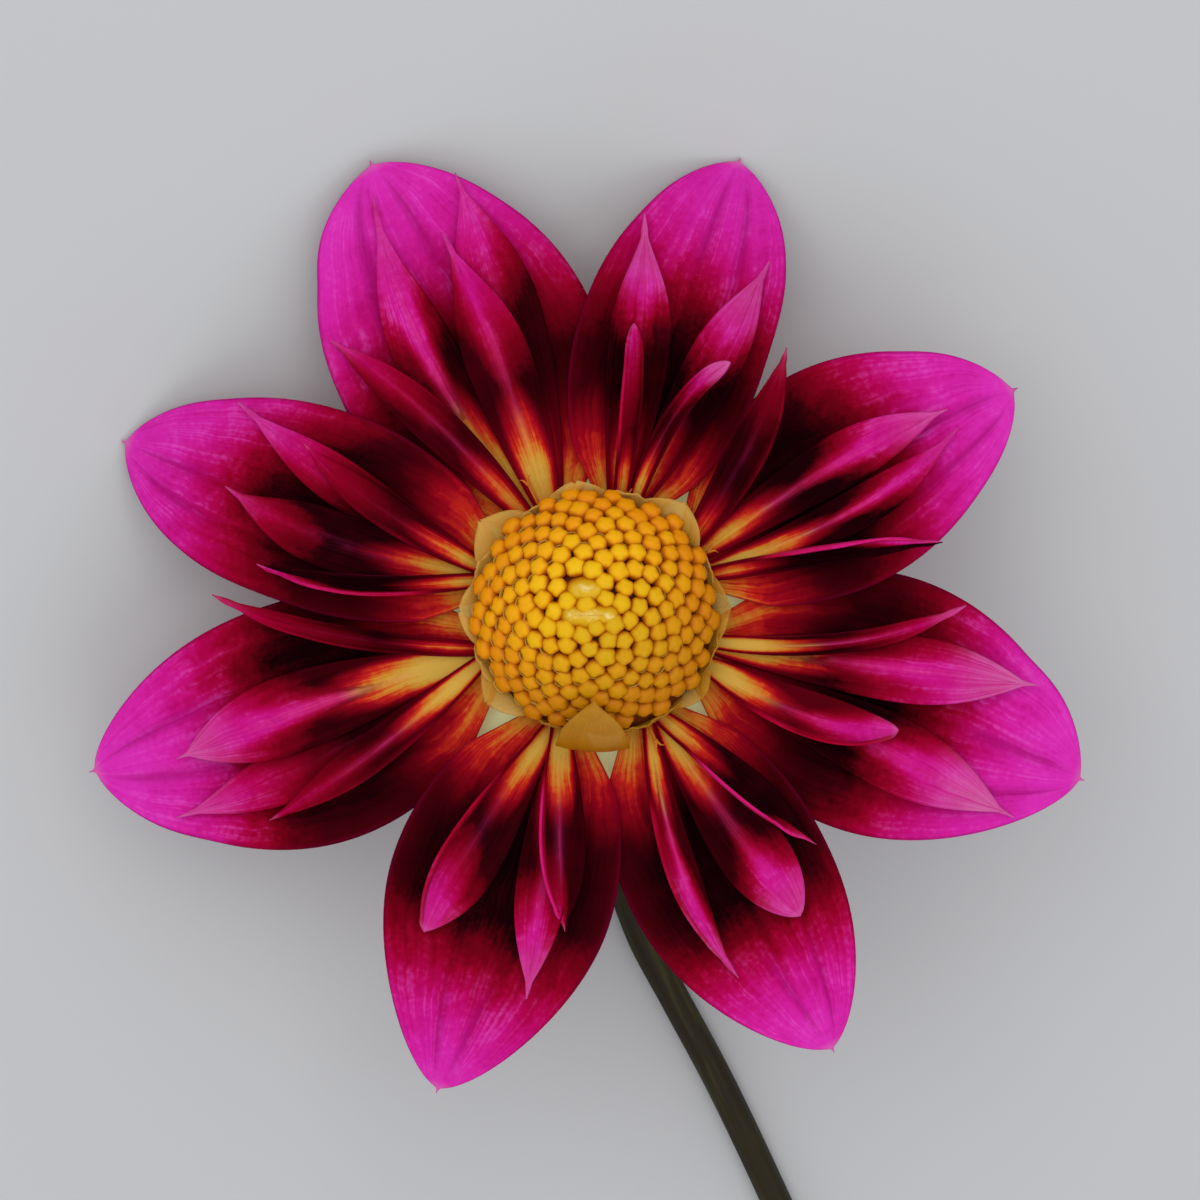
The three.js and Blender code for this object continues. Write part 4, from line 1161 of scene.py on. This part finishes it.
# %% [markdown]
# ## Inner bracts
#
# Under the rays lies a ring of thin, pale green bracts, which shows in the gaps between the
# ray claws and from below. They grow together at their feet, so each is a broad blade that
# overlaps its neighbours, and every other one lies a little lower. Their green is set lighter
# and glows a little: painted light for the daylight that passes through them into the gaps.

# %% Inner bracts
BRACTS = 8
FIRST_BRACT = 28
BRACT_FOOT = 4.6
BRACT_LENGTH = 12.4
BRACT_OVERLAP = 1.06
BRACT_SHOULDER = 0.78
# painted light: a weak glow and a lightened green for the light that shines through the bracts
bract_finish, dye, shader, along, _, fibre = fibrous(
    "inner_bract", lines=20, stretch=1.2, shift=9, Specular_IOR_Level=0.4, Emission_Strength=0.22,
)
glowing_green = (along + fibre * 0.35).ramp([
    (0.0, rgb(198, 208, 138)), (0.6, rgb(216, 224, 168)), (1.0, rgb(210, 208, 148)),
])
feed(dye, shader, Base_Color=glowing_green, Emission_Color=glowing_green, Roughness=0.55 + fibre * 0.2,
     Normal=fibre.bump(0.3, 0.0001))


def inner_bract(k):
    azimuth = FIRST_BRACT + k * 360 / BRACTS
    layer = 0.14 * (k % 2)

    def surface(t, u):
        radius = BRACT_FOOT + BRACT_LENGTH * t
        past_shoulder = np.clip((t - BRACT_SHOULDER) / (1 - BRACT_SHOULDER), 0, 1)
        width = BRACT_OVERLAP * np.sqrt(np.clip(1 - past_shoulder**2.4, 0.001, 1))
        angle = np.radians(azimuth + u * 180 / BRACTS * width)
        z = -1.5 - layer - 1.0 * ease(0.6, 1.0, t) + 0.05 * ripple(u + t, k, 2.0)
        return np.stack([radius * np.cos(angle), radius * np.sin(angle), z], -1)

    return blade(surface, rows=30, columns=24, thick=0.18, own=k * 0.37)


parts = [inner_bract(k) for k in range(BRACTS)]
piece("inner_bracts_fine", parts, "inner_bracts", bract_finish)

# %% [markdown]
# ## Receptacle and outer bracts
#
# The receptacle is the green cup that carries it all, turned like a small goblet. Its six
# fleshy outer bracts bend back. They are small leaves, so they get a leaf's midrib and a
# margin that browns.

# %% Receptacle
FLANK = [
    (0, -8), (2.3, -8), (3.2, -7.2), (5.2, -5.4), (7.4, -3.8), (8.2, -2.8), (8.0, -2.15), (0, -2.15),
]
OUTER_BRACTS = 6
OUTER_BRACT_LENGTH = 12.5
leaf_finish, dye, shader, along, across, fibre = fibrous(
    "receptacle", lines=14, stretch=3, shift=7, Specular_IOR_Level=0.4,
)
leaf = (along + fibre * 0.5).ramp([
    (0.0, rgb(92, 108, 50)), (0.6, rgb(106, 128, 58)), (1.0, rgb(128, 118, 64)),
])
leaf = abs(across).band(0.85, 1.0).mix(leaf, rgb(128, 96, 70))
feed(dye, shader, Base_Color=leaf, Roughness=0.55 + fibre * 0.2, Normal=fibre.bump(0.35, 0.00015))


def outer_bract(k):
    outward, sideways = polar(1, 10 + 60 * k), polar(1, 100 + 60 * k)

    def surface(t, u):
        radius = BRACT_FOOT + OUTER_BRACT_LENGTH * np.sin(1.25 * t) / math.sin(1.25)
        half = np.maximum(2.9 * np.sin(math.pi * (0.22 + 0.78 * t)) ** 0.9, 0.15)
        z = -5.0 - 1.2 * np.sin(math.pi * t) ** 2 - 2.6 * t**2.5 + 0.12 * u * u * half
        z = z - 0.18 * hill(u, 0.15) * ease(0, 0.3, t) + 0.1 * ripple(t, k + 70, 2.0) * u
        plane = outward * radius[..., None] + sideways * (u * half)[..., None]
        return np.concatenate([plane, z[..., None]], -1)

    return blade(surface, rows=36, columns=14, thick=lambda t, u: 0.9 - 0.6 * abs(u) ** 3, own=k * 0.41)


flank = path_through(FLANK[1:-1], 30)
cup = turned([FLANK[0], *flank, FLANK[-1]], sides=48, along=0.2, own=0.9)
parts = [cup, *(outer_bract(k) for k in range(OUTER_BRACTS))]
piece("receptacle_fine", parts, "receptacle", leaf_finish)

# %% [markdown]
# ## The stem
#
# The stem leaves the receptacle along the bloom's axis, bends down and lies on the surface.
# Its route is written in the row's own frame, from under the bloom, because it has to lie on
# the floor whatever the bloom's tilt is.

# %% Route of the stem
STALK_RADIUS = 1.5
NECK_RADIUS = 2.1
STALK_BEND = [(-0.5, -5.6, 7.2), (-1.7, -9.8, 3.9), (-3.6, -15, 2.0)]
STALK_LYING = [
    (-5.8, -22), (-8.0, -30), (-8.9, -38.5), (-8.5, -46),
    (-7.9, -56), (-7.7, -72), (-8.1, -95), (-8.3, -112),
]
STALK_STARTS = -8.3
lying = STALK_RADIUS * math.cos(math.pi / 10)
axis = TURN[:, 2]
start = axis * STALK_STARTS + np.array([0, 0, HEAD.z])
on_floor = [(x, y, lying) for x, y in STALK_LYING]
route = path_through([start, start - axis * 1.5, *STALK_BEND, *on_floor], 150)
route[:, 2] = np.maximum(route[:, 2], lying)
route += np.array([HEAD.x, HEAD.y, 0])
print("the stem ends at", [round(float(x), 1) for x in route[-1]])

# %% [markdown]
# Its section has six shallow ribs, and it is thickest under the bloom. It is dark, brown over
# olive, as the stems of dark dahlias are, and greener at the neck.

# %% Stem
def stem_rings():
    heading = np.gradient(route, axis=0)
    heading /= np.linalg.norm(heading, axis=1, keepdims=True)
    side = np.cross(heading, [0, 0, 1])
    side /= np.linalg.norm(side, axis=1, keepdims=True)
    over = np.cross(side, heading)
    t = np.linspace(0, 1, len(route))
    turns = circle(40)
    radius = STALK_RADIUS + (NECK_RADIUS - STALK_RADIUS) * (1 - ease(0, 0.16, t)) - 0.06
    ribbed = radius[:, None] * (1 + 0.025 * np.cos(6 * turns + 0.5))
    loops = (
        route[:, None] + side[:, None] * (ribbed * np.cos(turns))[..., None]
        - over[:, None] * (ribbed * np.sin(turns))[..., None]
    )
    loops[..., 2] = np.maximum(loops[..., 2], 0.0)
    return rings(loops, along=t)


stem_finish, dye, shader = finish("stem", Specular_IOR_Level=0.15)
stretched = dye.node("VectorMath", {"operation": "MULTIPLY"}, i0=dye.here(), i1=(1400, 90, 1400))
fibre = dye.grain(stretched, scale=1.0, detail=3.0)
bark = (fibre + 0.5).ramp([(0.25, rgb(28, 22, 10)), (0.55, rgb(42, 35, 14)), (0.8, rgb(66, 64, 24))])
bark = dye.marks("along")[0].band(0.0, 0.12).mix(rgb(84, 92, 48), bark)
feed(dye, shader, Base_Color=bark, Roughness=0.5 + fibre * 0.2, Normal=fibre.bump(0.35, 0.00015))
piece("stem_fine", [stem_rings()], "stem", stem_finish, place=lambda points: points * MM)

# %% [markdown]
# ## Measure the two boxes
#
# Both boxes, the packed model's and the dressed flower's, are printed so that they can be
# compared. The dressed flower has to keep to the box of the packed one.

# %% Measure and finish
dressed_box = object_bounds()
for name, box in (("cad", cad_box), ("visual", dressed_box)):
    print(name, [[round(x * 1000, 2) for x in corner] for corner in box])
